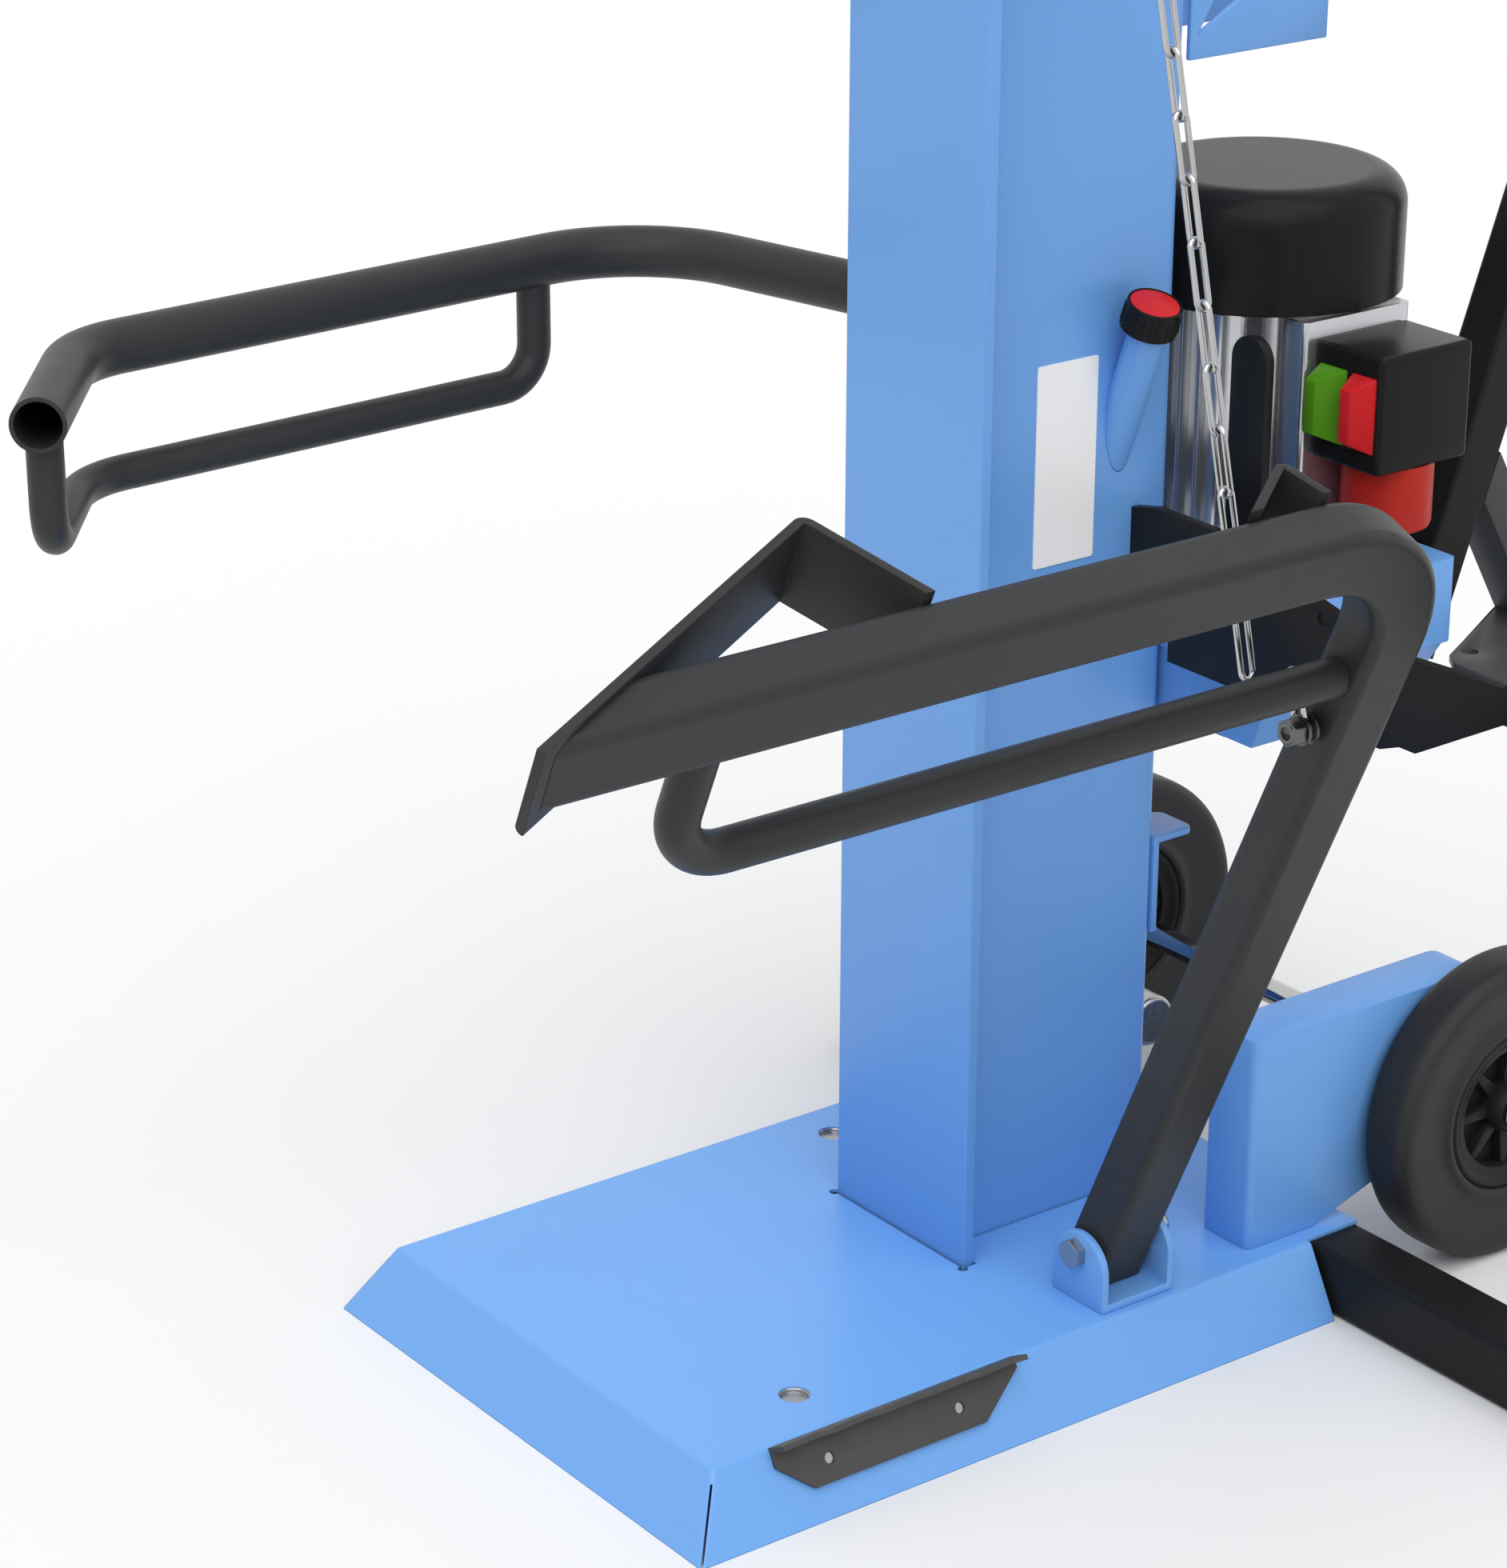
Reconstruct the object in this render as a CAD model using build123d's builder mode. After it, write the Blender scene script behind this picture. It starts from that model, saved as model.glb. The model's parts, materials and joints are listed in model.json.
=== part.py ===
import os
from math import cos, radians, sin, tan

from build123d import *

os.makedirs("parts", exist_ok=True)

# Upright hydraulic log splitter with a swinging log lifter. Millimetres, +Z up.
# +X is the lifter's side, -Y is the log's side. The origin is on the floor, in the middle
# of the column. The carriage is at the top of its stroke and the lifter is raised.

# Clearances
press_gap = 0.1
run_gap = 0.05
slide_gap = 0.4
cut_over = 2

# Base tray: folded sheet, wider at the floor than at the top
tray_height = 53
tray_wall = 3
tray_bottom_half = 226.6
tray_top_half = 197.2
tray_front_bottom = -448
tray_front_top = -417
tray_rear = 130
tray_tab = 52
tray_bend = 5
insert_bore = 11

# Column: a box tube behind a wide flange
flange_half = 75
flange_front = -101
flange_thick = 10
flange_height = 1330
box_half = 42
box_depth = 192
box_height = 1010
box_wall = 5
box_corner = 8
sole_thick = 8
top_plate_thick = 12
slot_gap = 1.5

# Stabiliser leg across the back
leg_side = 50
leg_left = 360
leg_right = 466
leg_wall = 3
leg_front = 134

# Hydraulic cylinder
bore_radius = 28
cylinder_radius = 35
rod_radius = 17.5
cylinder_bottom = 405
gland_height = 14

# Carriage
stroke = 500
guide_bottom = 1060
guide_top = 1575
guide_thick = 15
cheek_thick = 12
lip_half = 46
pad_thick = 4.6
bridge_thick = 30
wedge_reach = 213
wedge_edge_height = 1093
wedge_half = 28

# Lifter
lean = 23.6
pivot_x = 161
pivot_z = 92
clevis_width = 55
clevis_front = -68
clevis_depth = 68
clevis_wall = 6
arm_width = 50
arm_thick = 40
arm_wall = 3
arm_corner = 8
arm_centre_y = -34
arm_foot = 25
arm_height = 666
arm_bend = 90
arm_end_y = -722
tooth_width = 60
tooth_thick = 6
tip_round = 5
brace_radius = 13.5
brace_height = 547
brace_end_y = -586
pivot_radius = 6
chain_bolt_height = 505

# Chain
wire_radius = 2.1
link_width = 14
link_inner_length = 40.4
link_count = 22
hook_x = 104
hook_y = -70
hook_z = 1433
chain_angle = 13.6
neck_radius = 2.5

# Wheels
wheel_radius = 121
wheel_inner_face = 184
wheel_width = 44
axle_y = 308.5
axle_radius = 10
ring_radius = 15
ring_thick = 2.5
rim_radius = 78
left_spacer = 33

# Motor and what hangs on it
motor_y = 220
motor_radius = 80
fin_radius = 90
fin_count = 36
motor_bottom = 560
motor_top = 726
cowl_radius = 103
cowl_height = 86
shaft_radius = 9
console_top = 545
console_low = 481
console_left = -110
console_right = 157
console_rear = 279
console_wall = 5

# Two-hand levers
lever_radius = 19
lever_wall = 3
guard_radius = 12.5
guard_drop = 90
lever_z = 730
lever_tilt_y = 5
twin_x = 450
twin_y = 92
twin_z = 572
twin_fold = 95


def save(piece, name):
    piece.label = name
    export_step(piece, f"parts/{name}.step")


def block(xs, ys, zs, mode=Mode.ADD):
    with Locations(((xs[0] + xs[1]) / 2, (ys[0] + ys[1]) / 2, (zs[0] + zs[1]) / 2)):
        Box(xs[1] - xs[0], ys[1] - ys[0], zs[1] - zs[0], mode=mode)


def rod(start, end, radius, mode=Mode.ADD):
    run = Vector(*end) - Vector(*start)
    with BuildSketch(Plane(origin=start, z_dir=run)) as disc:
        Circle(radius)
    extrude(disc.sketch, amount=run.length, mode=mode)


def hexagon(start, end, across):
    run = Vector(*end) - Vector(*start)
    with BuildSketch(Plane(origin=start, z_dir=run)) as hexagon_face:
        RegularPolygon(across / 2, 6, major_radius=False)
    extrude(hexagon_face.sketch, amount=run.length)


def outline(plane, points, depth, mode=Mode.ADD):
    with BuildSketch(plane) as profile:
        with BuildLine():
            Polyline(*points, close=True)
        make_face()
    extrude(profile.sketch, amount=depth, mode=mode)


def round_tube(points, radii, outer, wall):
    with BuildLine() as route:
        FilletPolyline(*points, radius=radii)
    with BuildSketch(Plane(origin=route.line @ 0, z_dir=route.line % 0)) as ring:
        Circle(outer)
        Circle(outer - wall, mode=Mode.SUBTRACT)
    sweep(ring.sketch, path=route.line)


# ---------------------------------------------------------------- base
flange_back = flange_front + flange_thick
box_back = flange_back + box_depth
box_centre_y = flange_back + box_depth / 2


def frustum(inset, top, rear, mode):
    rise = tray_height
    side_run = (tray_bottom_half - tray_top_half) * top / rise
    front_run = (tray_front_top - tray_front_bottom) * top / rise
    faces = []
    for height, side, front in ((0, 0, 0), (top, side_run, front_run)):
        half = tray_bottom_half - inset - side
        low = tray_front_bottom + inset + front
        with BuildSketch(Plane.XY.offset(height)) as level:
            with Locations((0, (rear + low) / 2)):
                Rectangle(2 * half, rear - low)
        faces.append(level.sketch)
    loft(faces, mode=mode)


def base_tray():
    with BuildPart() as tray:
        frustum(0, tray_height, tray_rear, Mode.ADD)
        rim = tray.edges().group_by(Axis.Z)[-1].sort_by(Axis.Y)[:-1]
        corners = tray.edges().filter_by(
            lambda e: e.center().Y < 0 and abs(e.center().Z - tray_height / 2) < 1
        )
        fillet(rim + corners, tray_bend)
        slope_wall = tray_wall * 1.15
        frustum(slope_wall, tray_height - tray_wall, tray_rear + cut_over, Mode.SUBTRACT)
        tab_half = tray_top_half - tray_bend
        block((-tab_half, tab_half), (tray_rear - tray_bend, tray_rear + tray_tab),
              (tray_height - tray_wall, tray_height))
        deep = (tray_height - 2 * tray_wall, tray_height + cut_over)
        front = flange_front - slot_gap
        block((-flange_half - slot_gap, flange_half + slot_gap), (front, flange_back + slot_gap),
              deep, Mode.SUBTRACT)
        block((-box_half - slot_gap, box_half + slot_gap), (front, box_back + slot_gap),
              deep, Mode.SUBTRACT)
        with BuildSketch(Plane.XY.offset(tray_height)):
            with Locations((flange_half + slot_gap, front), (-flange_half - slot_gap, front)):
                Circle(4)
            with Locations(*insert_places):
                Circle(insert_bore)
        extrude(amount=-2 * tray_wall, mode=Mode.SUBTRACT)
        for side in (-1, 1):
            bottom = Vector(side * tray_bottom_half, tray_front_bottom)
            top = Vector(side * tray_top_half, tray_front_top)
            seam = Plane(origin=(bottom.X, bottom.Y, 0), x_dir=(top - bottom).normalized(),
                         z_dir=(0, 0, 1))
            with BuildSketch(seam):
                Rectangle(2 * seam_depth, seam_width)
            extrude(amount=tray_height - seam_stop, mode=Mode.SUBTRACT)
    return tray.part


seam_depth = 48
seam_width = 1.6
seam_stop = 9
insert_places = ((150, -312.6), (-156, -43))


def anchor_inserts():
    top = tray_height - 1
    under = tray_height - tray_wall
    with BuildPart() as inserts:
        for x, y in insert_places:
            rod((x, y, under - 8), (x, y, top), insert_bore - press_gap)
            rod((x, y, under - 8), (x, y, under), insert_bore + 4)
            rod((x, y, under - 9), (x, y, top + 1), insert_bore - 4, Mode.SUBTRACT)
    return inserts.part


def toothed_plate():
    run = Vector(tray_top_half - tray_bottom_half, 0, tray_height)
    up = run.normalized()
    out = Vector(up.Z, 0, -up.X)
    foot = Vector(tray_bottom_half, 0, 0)
    low = 24
    high = run.length - 4
    with BuildPart() as plate:
        face = Plane(origin=foot, x_dir=(0, 1, 0), z_dir=out)
        points = [(-371, high), (-371, low + 22), (-345, low), (-196, low), (-158, low + 28)]
        outline(face, points + [(-158, high)], 4)
        teeth = 5
        pitch = (371 - 158) / teeth
        saw = [(-371, 0)]
        for i in range(teeth):
            saw += [(-371 + i * pitch, -20), (-371 + (i + 0.8) * pitch, -14)]
        saw += [(-158, -20), (-158, 0)]
        lip = Plane(origin=foot + up * high, x_dir=(0, 1, 0), z_dir=up)
        outline(lip, saw, 4)
        with BuildSketch(face):
            with Locations(*((y, tooth_screw_rise) for y in tooth_screw_ys)):
                Circle(4 + press_gap)
        extrude(amount=5, mode=Mode.SUBTRACT)
    with BuildPart() as screws:
        for y in tooth_screw_ys:
            start = foot + up * tooth_screw_rise + Vector(0, y, 0)
            rod(tuple(start), tuple(start + out * 2.2), 4)
    return plate.part, screws.part


tooth_screw_rise = 40
tooth_screw_ys = (-328, -214)


def sole_plate():
    with BuildPart() as sole:
        block((-150, 150), (-140, leg_front), (0, sole_thick))
    return sole.part


def stabiliser():
    middle = leg_front + leg_side / 2
    with BuildPart() as tube:
        with BuildSketch(Plane.YZ.offset(-leg_left)):
            with Locations((middle, leg_side / 2)):
                RectangleRounded(leg_side, leg_side, 5)
                RectangleRounded(leg_side - 2 * leg_wall, leg_side - 2 * leg_wall, 2,
                                 mode=Mode.SUBTRACT)
        extrude(amount=leg_left + leg_right)
    inner = leg_side - 2 * leg_wall - 2 * press_gap
    with BuildPart() as caps:
        for side, half in ((-1, leg_left), (1, leg_right)):
            with BuildSketch(Plane.YZ.offset(side * half)):
                with Locations((middle, leg_side / 2)):
                    RectangleRounded(leg_side, leg_side, 5)
            extrude(amount=side * 4)
            with BuildSketch(Plane.YZ.offset(side * half)):
                with Locations((middle, leg_side / 2)):
                    RectangleRounded(inner, inner, 1.8)
                    Rectangle(inner - 6, inner - 6, mode=Mode.SUBTRACT)
            extrude(amount=-side * 20)
    return tube.part, caps.part


# -------------------------------------------------------------- column
def column():
    with BuildPart() as box:
        with BuildSketch(Plane.XY.offset(sole_thick)):
            with Locations((0, box_centre_y)):
                RectangleRounded(2 * box_half, box_depth, box_corner)
                RectangleRounded(2 * (box_half - box_wall), box_depth - 2 * box_wall,
                                 box_corner - box_wall, mode=Mode.SUBTRACT)
        extrude(amount=box_height - sole_thick)
    with BuildPart() as flange:
        block((-flange_half, flange_half), (flange_front, flange_back),
              (sole_thick, flange_height))
        fillet(flange.edges().filter_by(Axis.Z), 1.5)
    with BuildPart() as lid:
        block((-box_half, box_half), (flange_back, box_back),
              (box_height, box_height + top_plate_thick))
        top = box_height + top_plate_thick
        rod((0, box_centre_y, top), (0, box_centre_y, top + gland_height), rod_radius + 12.5)
        rod((0, box_centre_y, box_height - 1), (0, box_centre_y, top + gland_height + 1),
            rod_radius + run_gap, Mode.SUBTRACT)
    return box.part, flange.part, lid.part


def cylinder():
    y = box_centre_y
    with BuildPart() as barrel:
        rod((0, y, cylinder_bottom), (0, y, box_height), cylinder_radius)
        rod((0, y, cylinder_bottom + 15), (0, y, box_height + 1), bore_radius, Mode.SUBTRACT)
    with BuildPart() as piston:
        rod((0, y, box_height - 45), (0, y, box_height - 5), bore_radius - run_gap)
        rod((0, y, box_height - 5), (0, y, guide_top - bridge_thick), rod_radius)
    return barrel.part, piston.part


# ------------------------------------------------------------ carriage
guide_half = flange_half + slide_gap + pad_thick + cheek_thick
guide_front = flange_front - slide_gap - guide_thick
cheek_back = -52


def carriage():
    rise = (guide_bottom, guide_top)
    with BuildPart() as guide:
        block((-guide_half, guide_half), (guide_front, flange_front - slide_gap), rise)
        for side in (-1, 1):
            outer = side * guide_half
            inner = side * (guide_half - cheek_thick)
            block(sorted((inner, outer)), (guide_front, cheek_back), rise)
            block(sorted((side * lip_half, outer)), (flange_back + slide_gap, -78), rise)
            ear = (guide_half, hook_x + 14)
        block(ear, (cheek_back - 8, cheek_back), (hook_z - 18, hook_z + 22))
        rod((hook_x, cheek_back - 9, hook_z), (hook_x, cheek_back + 1, hook_z),
            pivot_radius + press_gap, Mode.SUBTRACT)
    with BuildPart() as pads:
        for side in (-1, 1):
            near = side * (flange_half + slide_gap)
            far = side * (flange_half + slide_gap + pad_thick)
            for low in (guide_bottom + 10, guide_top - 330):
                block(sorted((near, far)), (flange_front, flange_back), (low, low + 80))
    with BuildPart() as bridge:
        inner = guide_half - cheek_thick
        block((-inner, inner), (-78, box_centre_y + 40), (guide_top - bridge_thick, guide_top))
        fillet(bridge.edges().filter_by(Axis.Z).group_by(Axis.Y)[-1], 30)
    y = guide_front
    z = wedge_edge_height
    with BuildPart() as wedge:
        points = [(-1, z), (1, z), (wedge_half, z + 97), (wedge_half, z + 200), (8, z + 240)]
        points += [(-8, z + 240), (-wedge_half, z + 200), (-wedge_half, z + 97)]
        outline(Plane.XZ.offset(-y), points, wedge_reach)
        front = wedge_reach - 60
        cut = [(-y + front, z + 241), (-y + wedge_reach + 1, z + 241)]
        cut += [(-y + wedge_reach + 1, z + 120)]
        slope = Plane(origin=(-wedge_half - 1, 0, 0), x_dir=(0, -1, 0), z_dir=(1, 0, 0))
        outline(Plane(slope.origin, x_dir=(0, -1, 0), z_dir=(-1, 0, 0)), cut,
                -2 * wedge_half - 2, Mode.SUBTRACT)
    return guide.part, pads.part, bridge.part, wedge.part


def bolt_with_neck(x, z, link_y, seat_y, end_y, washer_radius):
    with BuildPart() as bolt:
        hexagon((x, link_y - 14, z), (x, link_y - 7.2, z), 17)
        for low in (link_y - 7.2, seat_y - 2.5):
            rod((x, low, z), (x, low + 2.5, z), washer_radius)
        rod((x, link_y - 7.2, z), (x, seat_y, z), neck_radius)
        rod((x, seat_y, z), (x, end_y, z), pivot_radius)
        hexagon((x, end_y, z), (x, end_y + 8, z), 18)
    return bolt.part


# ---------------------------------------------------------------- chain
def link(plane, middle):
    half_run = (link_inner_length + 2 * wire_radius - (link_width - 2 * wire_radius)) / 2
    arc = link_width / 2 - wire_radius
    origin = plane.from_local_coords((middle, 0, 0))
    along = plane.x_dir
    across = plane.y_dir
    for side in (-1, 1):
        edge = origin + across * side * arc
        rod(tuple(edge - along * half_run), tuple(edge + along * half_run), wire_radius)
        end = origin + along * side * half_run
        turn = Plane(origin=end, x_dir=along * side, z_dir=plane.z_dir)
        section = Plane(origin=end + across * arc, x_dir=across, z_dir=along)
        with BuildSketch(section) as wire:
            Circle(wire_radius)
        revolve(wire.sketch, axis=Axis(end, turn.z_dir), revolution_arc=180 * -side)


def turned(plane, flat):
    if flat:
        return plane
    return Plane(origin=plane.origin, x_dir=plane.x_dir, z_dir=plane.y_dir)


def chain_links():
    tilt = radians(chain_angle)
    down = Vector(sin(tilt), 0, -cos(tilt))
    line = Plane(origin=(hook_x, hook_y, hook_z), x_dir=down, z_dir=(0, 1, 0))
    first = link_inner_length / 2 - neck_radius - 0.3
    pieces = []
    for i in range(link_count):
        with BuildPart() as one:
            link(turned(line, i % 2 == 0), first + i * (link_inner_length - 0.2))
        pieces.append(one.part.solid())
    return Compound(children=pieces)


def chain_end_links():
    bolt = lifter_point(0, 0, chain_bolt_height)
    corner = Vector(352, hook_y, 595)
    tip = Vector(313.8, hook_y, 565)
    start = Vector(bolt.X, hook_y, bolt.Z)
    up = (corner - start).normalized()
    back = (tip - corner).normalized()
    first = link_inner_length / 2 - neck_radius - 0.3
    joint = start + up * (first + link_inner_length / 2 - wire_radius - 0.2)
    pieces = []
    for place, flat in ((Plane(origin=start, x_dir=up, z_dir=(0, 1, 0)), True),
                        (Plane(origin=joint, x_dir=back, z_dir=(0, 1, 0)), False)):
        with BuildPart() as one:
            if flat:
                link(place, first)
            else:
                link(turned(place, False), link_inner_length / 2 + wire_radius)
        pieces.append(one.part.solid())
    return Compound(children=pieces)


# --------------------------------------------------------------- lifter
tilt = radians(lean)
lift_up = Vector(sin(tilt), 0, cos(tilt))
lift_out = Vector(cos(tilt), 0, -sin(tilt))


def lifter_point(out, y, up):
    return Vector(pivot_x, y, pivot_z) + lift_up * up + lift_out * out


def clevis():
    half = clevis_width / 2
    middle = pivot_x + 2.5
    with BuildPart() as bracket:
        block((middle - half, middle + half), (clevis_front, clevis_front + clevis_depth),
              (tray_height, tray_height + clevis_wall))
        for y in (clevis_front, clevis_front + clevis_depth - clevis_wall):
            with BuildSketch(Plane.XZ.offset(-y - clevis_wall)):
                with Locations((middle, tray_height + half)):
                    Circle(half)
                with Locations((middle, tray_height + half / 2)):
                    Rectangle(2 * half, half)
            extrude(amount=clevis_wall)
        rod((pivot_x, clevis_front - 1, pivot_z), (pivot_x, clevis_front + clevis_depth + 1, pivot_z),
            pivot_radius + press_gap, Mode.SUBTRACT)
    with BuildPart() as bolt:
        back = clevis_front + clevis_depth
        rod((pivot_x, clevis_front, pivot_z), (pivot_x, back, pivot_z), pivot_radius)
        hexagon((pivot_x, clevis_front - 7.5, pivot_z), (pivot_x, clevis_front, pivot_z), 19)
        rod((pivot_x, back, pivot_z), (pivot_x, back + 13, pivot_z), 11)
        fillet(bolt.faces().sort_by(Axis.Y)[-1].edges(), 4)
        arm_front = arm_centre_y - arm_width / 2
        spans = ((clevis_front + clevis_wall, arm_front - slide_gap),
                 (arm_front + arm_width + slide_gap, back - clevis_wall))
        for low, high in spans:
            rod((pivot_x, low, pivot_z), (pivot_x, high, pivot_z), 14)
    return bracket.part, bolt.part


def arm_section():
    RectangleRounded(arm_width, arm_thick, arm_corner)
    inner = arm_corner - arm_wall
    RectangleRounded(arm_width - 2 * arm_wall, arm_thick - 2 * arm_wall, inner,
                     mode=Mode.SUBTRACT)


def inner_corner(apex, leg_a, leg_b, thick):
    turn = radians(leg_a.get_angle(leg_b))
    return apex + (leg_a + leg_b) * (thick / sin(turn))


def reach(start, leg, out):
    return start + leg * ((out - start.X) / leg.X)


# Plan places in the lifter's own frame: X is outward, Y is the world's Y
front_end = Vector(arm_thick / 2, arm_end_y)
front_apex = Vector(-104, -460)
front_leg = (front_end - front_apex).normalized()
front_back_leg = Vector(84, 38).normalized()
rear_apex = Vector(-58, -124)
rear_leg = Vector(51, -73).normalized()
rear_back_leg = Vector(70, 23).normalized()


def lifter_arm():
    with BuildPart() as arm:
        start = lifter_point(0, arm_centre_y, -arm_foot)
        corner = lifter_point(0, arm_centre_y, arm_height)
        end = lifter_point(0, arm_end_y - 10, arm_height)
        with BuildLine():
            FilletPolyline(start, corner, end, radius=arm_bend)
        with BuildSketch(Plane(origin=start, x_dir=(0, 1, 0), z_dir=lift_up)):
            arm_section()
        sweep()
        plan = Plane(origin=lifter_point(0, 0, arm_height - 60), x_dir=lift_out, z_dir=lift_up)
        normal = Vector(-front_leg.Y, front_leg.X)
        shift = normal * tooth_thick
        a = front_end + front_leg * 60 + shift
        b = front_apex + shift
        away = normal * -160
        outline(plan, [(p.X, p.Y) for p in (a, b, b + away, a + away)], 120, Mode.SUBTRACT)
        bolt = lifter_point(0, 0, chain_bolt_height)
        for x, z in ((pivot_x, pivot_z), (bolt.X, bolt.Z)):
            rod((x, -80, z), (x, 10, z), pivot_radius + run_gap, Mode.SUBTRACT)
    return arm.part


def bent_bar(apex, leg_a, leg_b, end_a, end_b):
    inner = inner_corner(apex, leg_a, leg_b, tooth_thick)
    face = -arm_thick / 2
    stop_b = reach(inner, leg_b, face)
    if end_a is None:
        far = reach(apex, leg_a, face)
        near = reach(inner, leg_a, face)
    else:
        far = end_a
        near = end_a + leg_b * tooth_thick
    points = [far, apex, end_b, stop_b, inner, near]
    low = arm_height - tooth_width / 2
    plan = Plane(origin=lifter_point(0, 0, low), x_dir=lift_out, z_dir=lift_up)
    with BuildPart() as bar:
        with BuildSketch(plan) as profile:
            with BuildLine():
                Polyline(*[(p.X, p.Y) for p in points], close=True)
            make_face()
            outer = profile.vertices().filter_by(lambda v: near_point(v, apex, plan))
            fillet(outer, 9)
        extrude(amount=tooth_width)
        if end_a is not None:
            tip = bar.faces().sort_by_distance(end_a + lift_up * low)[0]
            fillet(tip.edges().sort_by(Axis((0, 0, 0), lift_up))[0], tip_round)
    return bar.part


def near_point(vertex, point, plane):
    return (Vector(vertex) - Vector(point.X, point.Y)).length < 0.5


def lifter_teeth():
    face = -arm_thick / 2
    front = bent_bar(front_apex, front_leg, front_back_leg, front_end,
                     reach(front_apex, front_back_leg, face))
    rear = bent_bar(rear_apex, rear_leg, rear_back_leg, None,
                    reach(rear_apex, rear_back_leg, face))
    return front, rear


def brace_tube():
    with BuildPart() as brace:
        start = lifter_point(0, arm_centre_y - arm_width / 2, brace_height)
        corner = lifter_point(0, brace_end_y, brace_height)
        end = lifter_point(0, brace_end_y, arm_height - arm_width / 2)
        round_tube((start, corner, end), 45, brace_radius, 2.5)
    return brace.part


# --------------------------------------------------------------- wheels
bracket_inner = 133
bracket_width = 47
bracket_wall = 4
bracket_front = 82
bracket_top = 220.5
bracket_rear = 326


def wheel_bracket(side):
    profile = [(bracket_front, tray_height), (bracket_front, bracket_top)]
    profile += [(bracket_rear, bracket_top), (bracket_rear, 110), (147, tray_height)]
    hollow = [(bracket_front + bracket_wall, tray_height - 10)]
    hollow += [(bracket_front + bracket_wall, bracket_top - bracket_wall)]
    hollow += [(bracket_rear - 56, bracket_top - bracket_wall), (bracket_rear + 5, 150)]
    hollow += [(bracket_rear + 5, tray_height - 10)]
    with BuildPart() as bracket:
        outline(Plane.YZ.offset(bracket_inner), profile, bracket_width)
        rear_top = bracket.edges().filter_by(Axis.X).sort_by(Axis.Y)[-2:].sort_by(Axis.Z)[-1]
        fillet(rear_top, 60)
        fillet(bracket.edges().filter_by(Axis.Z).group_by(Axis.Y)[0], 5)
        outline(Plane.YZ.offset(bracket_inner - 1), hollow,
                bracket_width - bracket_wall + 1, Mode.SUBTRACT)
        rod((bracket_inner - 1, axle_y, wheel_radius),
            (bracket_inner + bracket_width + 1, axle_y, wheel_radius),
            axle_radius + press_gap, Mode.SUBTRACT)
        block((bracket_inner + bracket_width - 16, bracket_inner + bracket_width - 2),
              (bracket_front - 1, bracket_front + bracket_wall + 1),
              (bracket_top - 6, bracket_top - 3.5), Mode.SUBTRACT)
    if side < 0:
        return Location((-left_spacer, 0, 0)) * mirror(bracket.part, about=Plane.YZ)
    return bracket.part


def axle():
    bracket_face = bracket_inner + bracket_width
    with BuildPart() as bar:
        for side, spacer in ((1, 0), (-1, left_spacer)):
            inner = wheel_inner_face + spacer
            outer = inner + wheel_width
            rod((0, axle_y, wheel_radius), (side * (outer + 6), axle_y, wheel_radius), axle_radius)
            spans = ((bracket_face + spacer, inner - slide_gap),
                     (outer + slide_gap, outer + slide_gap + ring_thick))
            for low, high in spans:
                rod((side * low, axle_y, wheel_radius), (side * high, axle_y, wheel_radius),
                    ring_radius)
    return bar.part


def wheel(side):
    face = Plane(origin=(wheel_inner_face, axle_y, wheel_radius), x_dir=(0, 1, 0),
                 z_dir=(1, 0, 0))
    with BuildPart() as tyre:
        with BuildSketch(face):
            Circle(wheel_radius)
            Circle(rim_radius, mode=Mode.SUBTRACT)
        extrude(amount=wheel_width)
        fillet(tyre.edges().filter_by(GeomType.CIRCLE).group_by(
            lambda e: round(e.radius))[-1], 6)
    with BuildPart() as rim:
        with BuildSketch(face.offset(3)):
            Circle(rim_radius - press_gap)
            Circle(rim_radius - 8, mode=Mode.SUBTRACT)
        extrude(amount=wheel_width - 6)
        with BuildSketch(face):
            Circle(20)
        extrude(amount=wheel_width)
        with BuildSketch(face.offset(12)):
            Circle(rim_radius - 7)
            with PolarLocations(44, 8):
                Rectangle(40, 17, mode=Mode.SUBTRACT)
        extrude(amount=20)
        with BuildSketch(face.offset(-1)):
            Circle(axle_radius + run_gap)
        extrude(amount=wheel_width + 2, mode=Mode.SUBTRACT)
    if side < 0:
        place = Location((-left_spacer, 0, 0))
        return [place * mirror(part, about=Plane.YZ) for part in (tyre.part, rim.part)]
    return tyre.part, rim.part


# -------------------------------------------------- motor and its console
def console():
    middle_x = (console_left + console_right) / 2
    wide = console_right - console_left
    middle_y = (box_back + console_rear) / 2
    deep = console_rear - box_back
    hollow_x = (console_left + console_wall, console_right - console_wall)
    with BuildPart() as body:
        block((console_left, console_right), (box_back, console_rear), (console_low, console_top))
        with BuildSketch(Plane.XY.offset(console_low)) as neck:
            with Locations((middle_x, middle_y)):
                Rectangle(wide - 8, deep - 8)
        with BuildSketch(Plane.XY.offset(pump_top)) as foot:
            with Locations((middle_x + 8, middle_y - 15)):
                Rectangle(wide - 60, deep - 38)
        loft((neck.sketch, foot.sketch))
        fillet(body.edges().filter_by(Axis.Z), 6)
        block(hollow_x, (box_back + console_wall, console_rear - console_wall),
              (console_low, console_top - console_wall), Mode.SUBTRACT)
        block((-60, 100), (110, 240), (pump_top - 1, console_low + 1), Mode.SUBTRACT)
        rod((0, motor_y, console_top - 6), (0, motor_y, console_top + 1), shaft_radius + 1,
            Mode.SUBTRACT)
    return body.part


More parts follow.
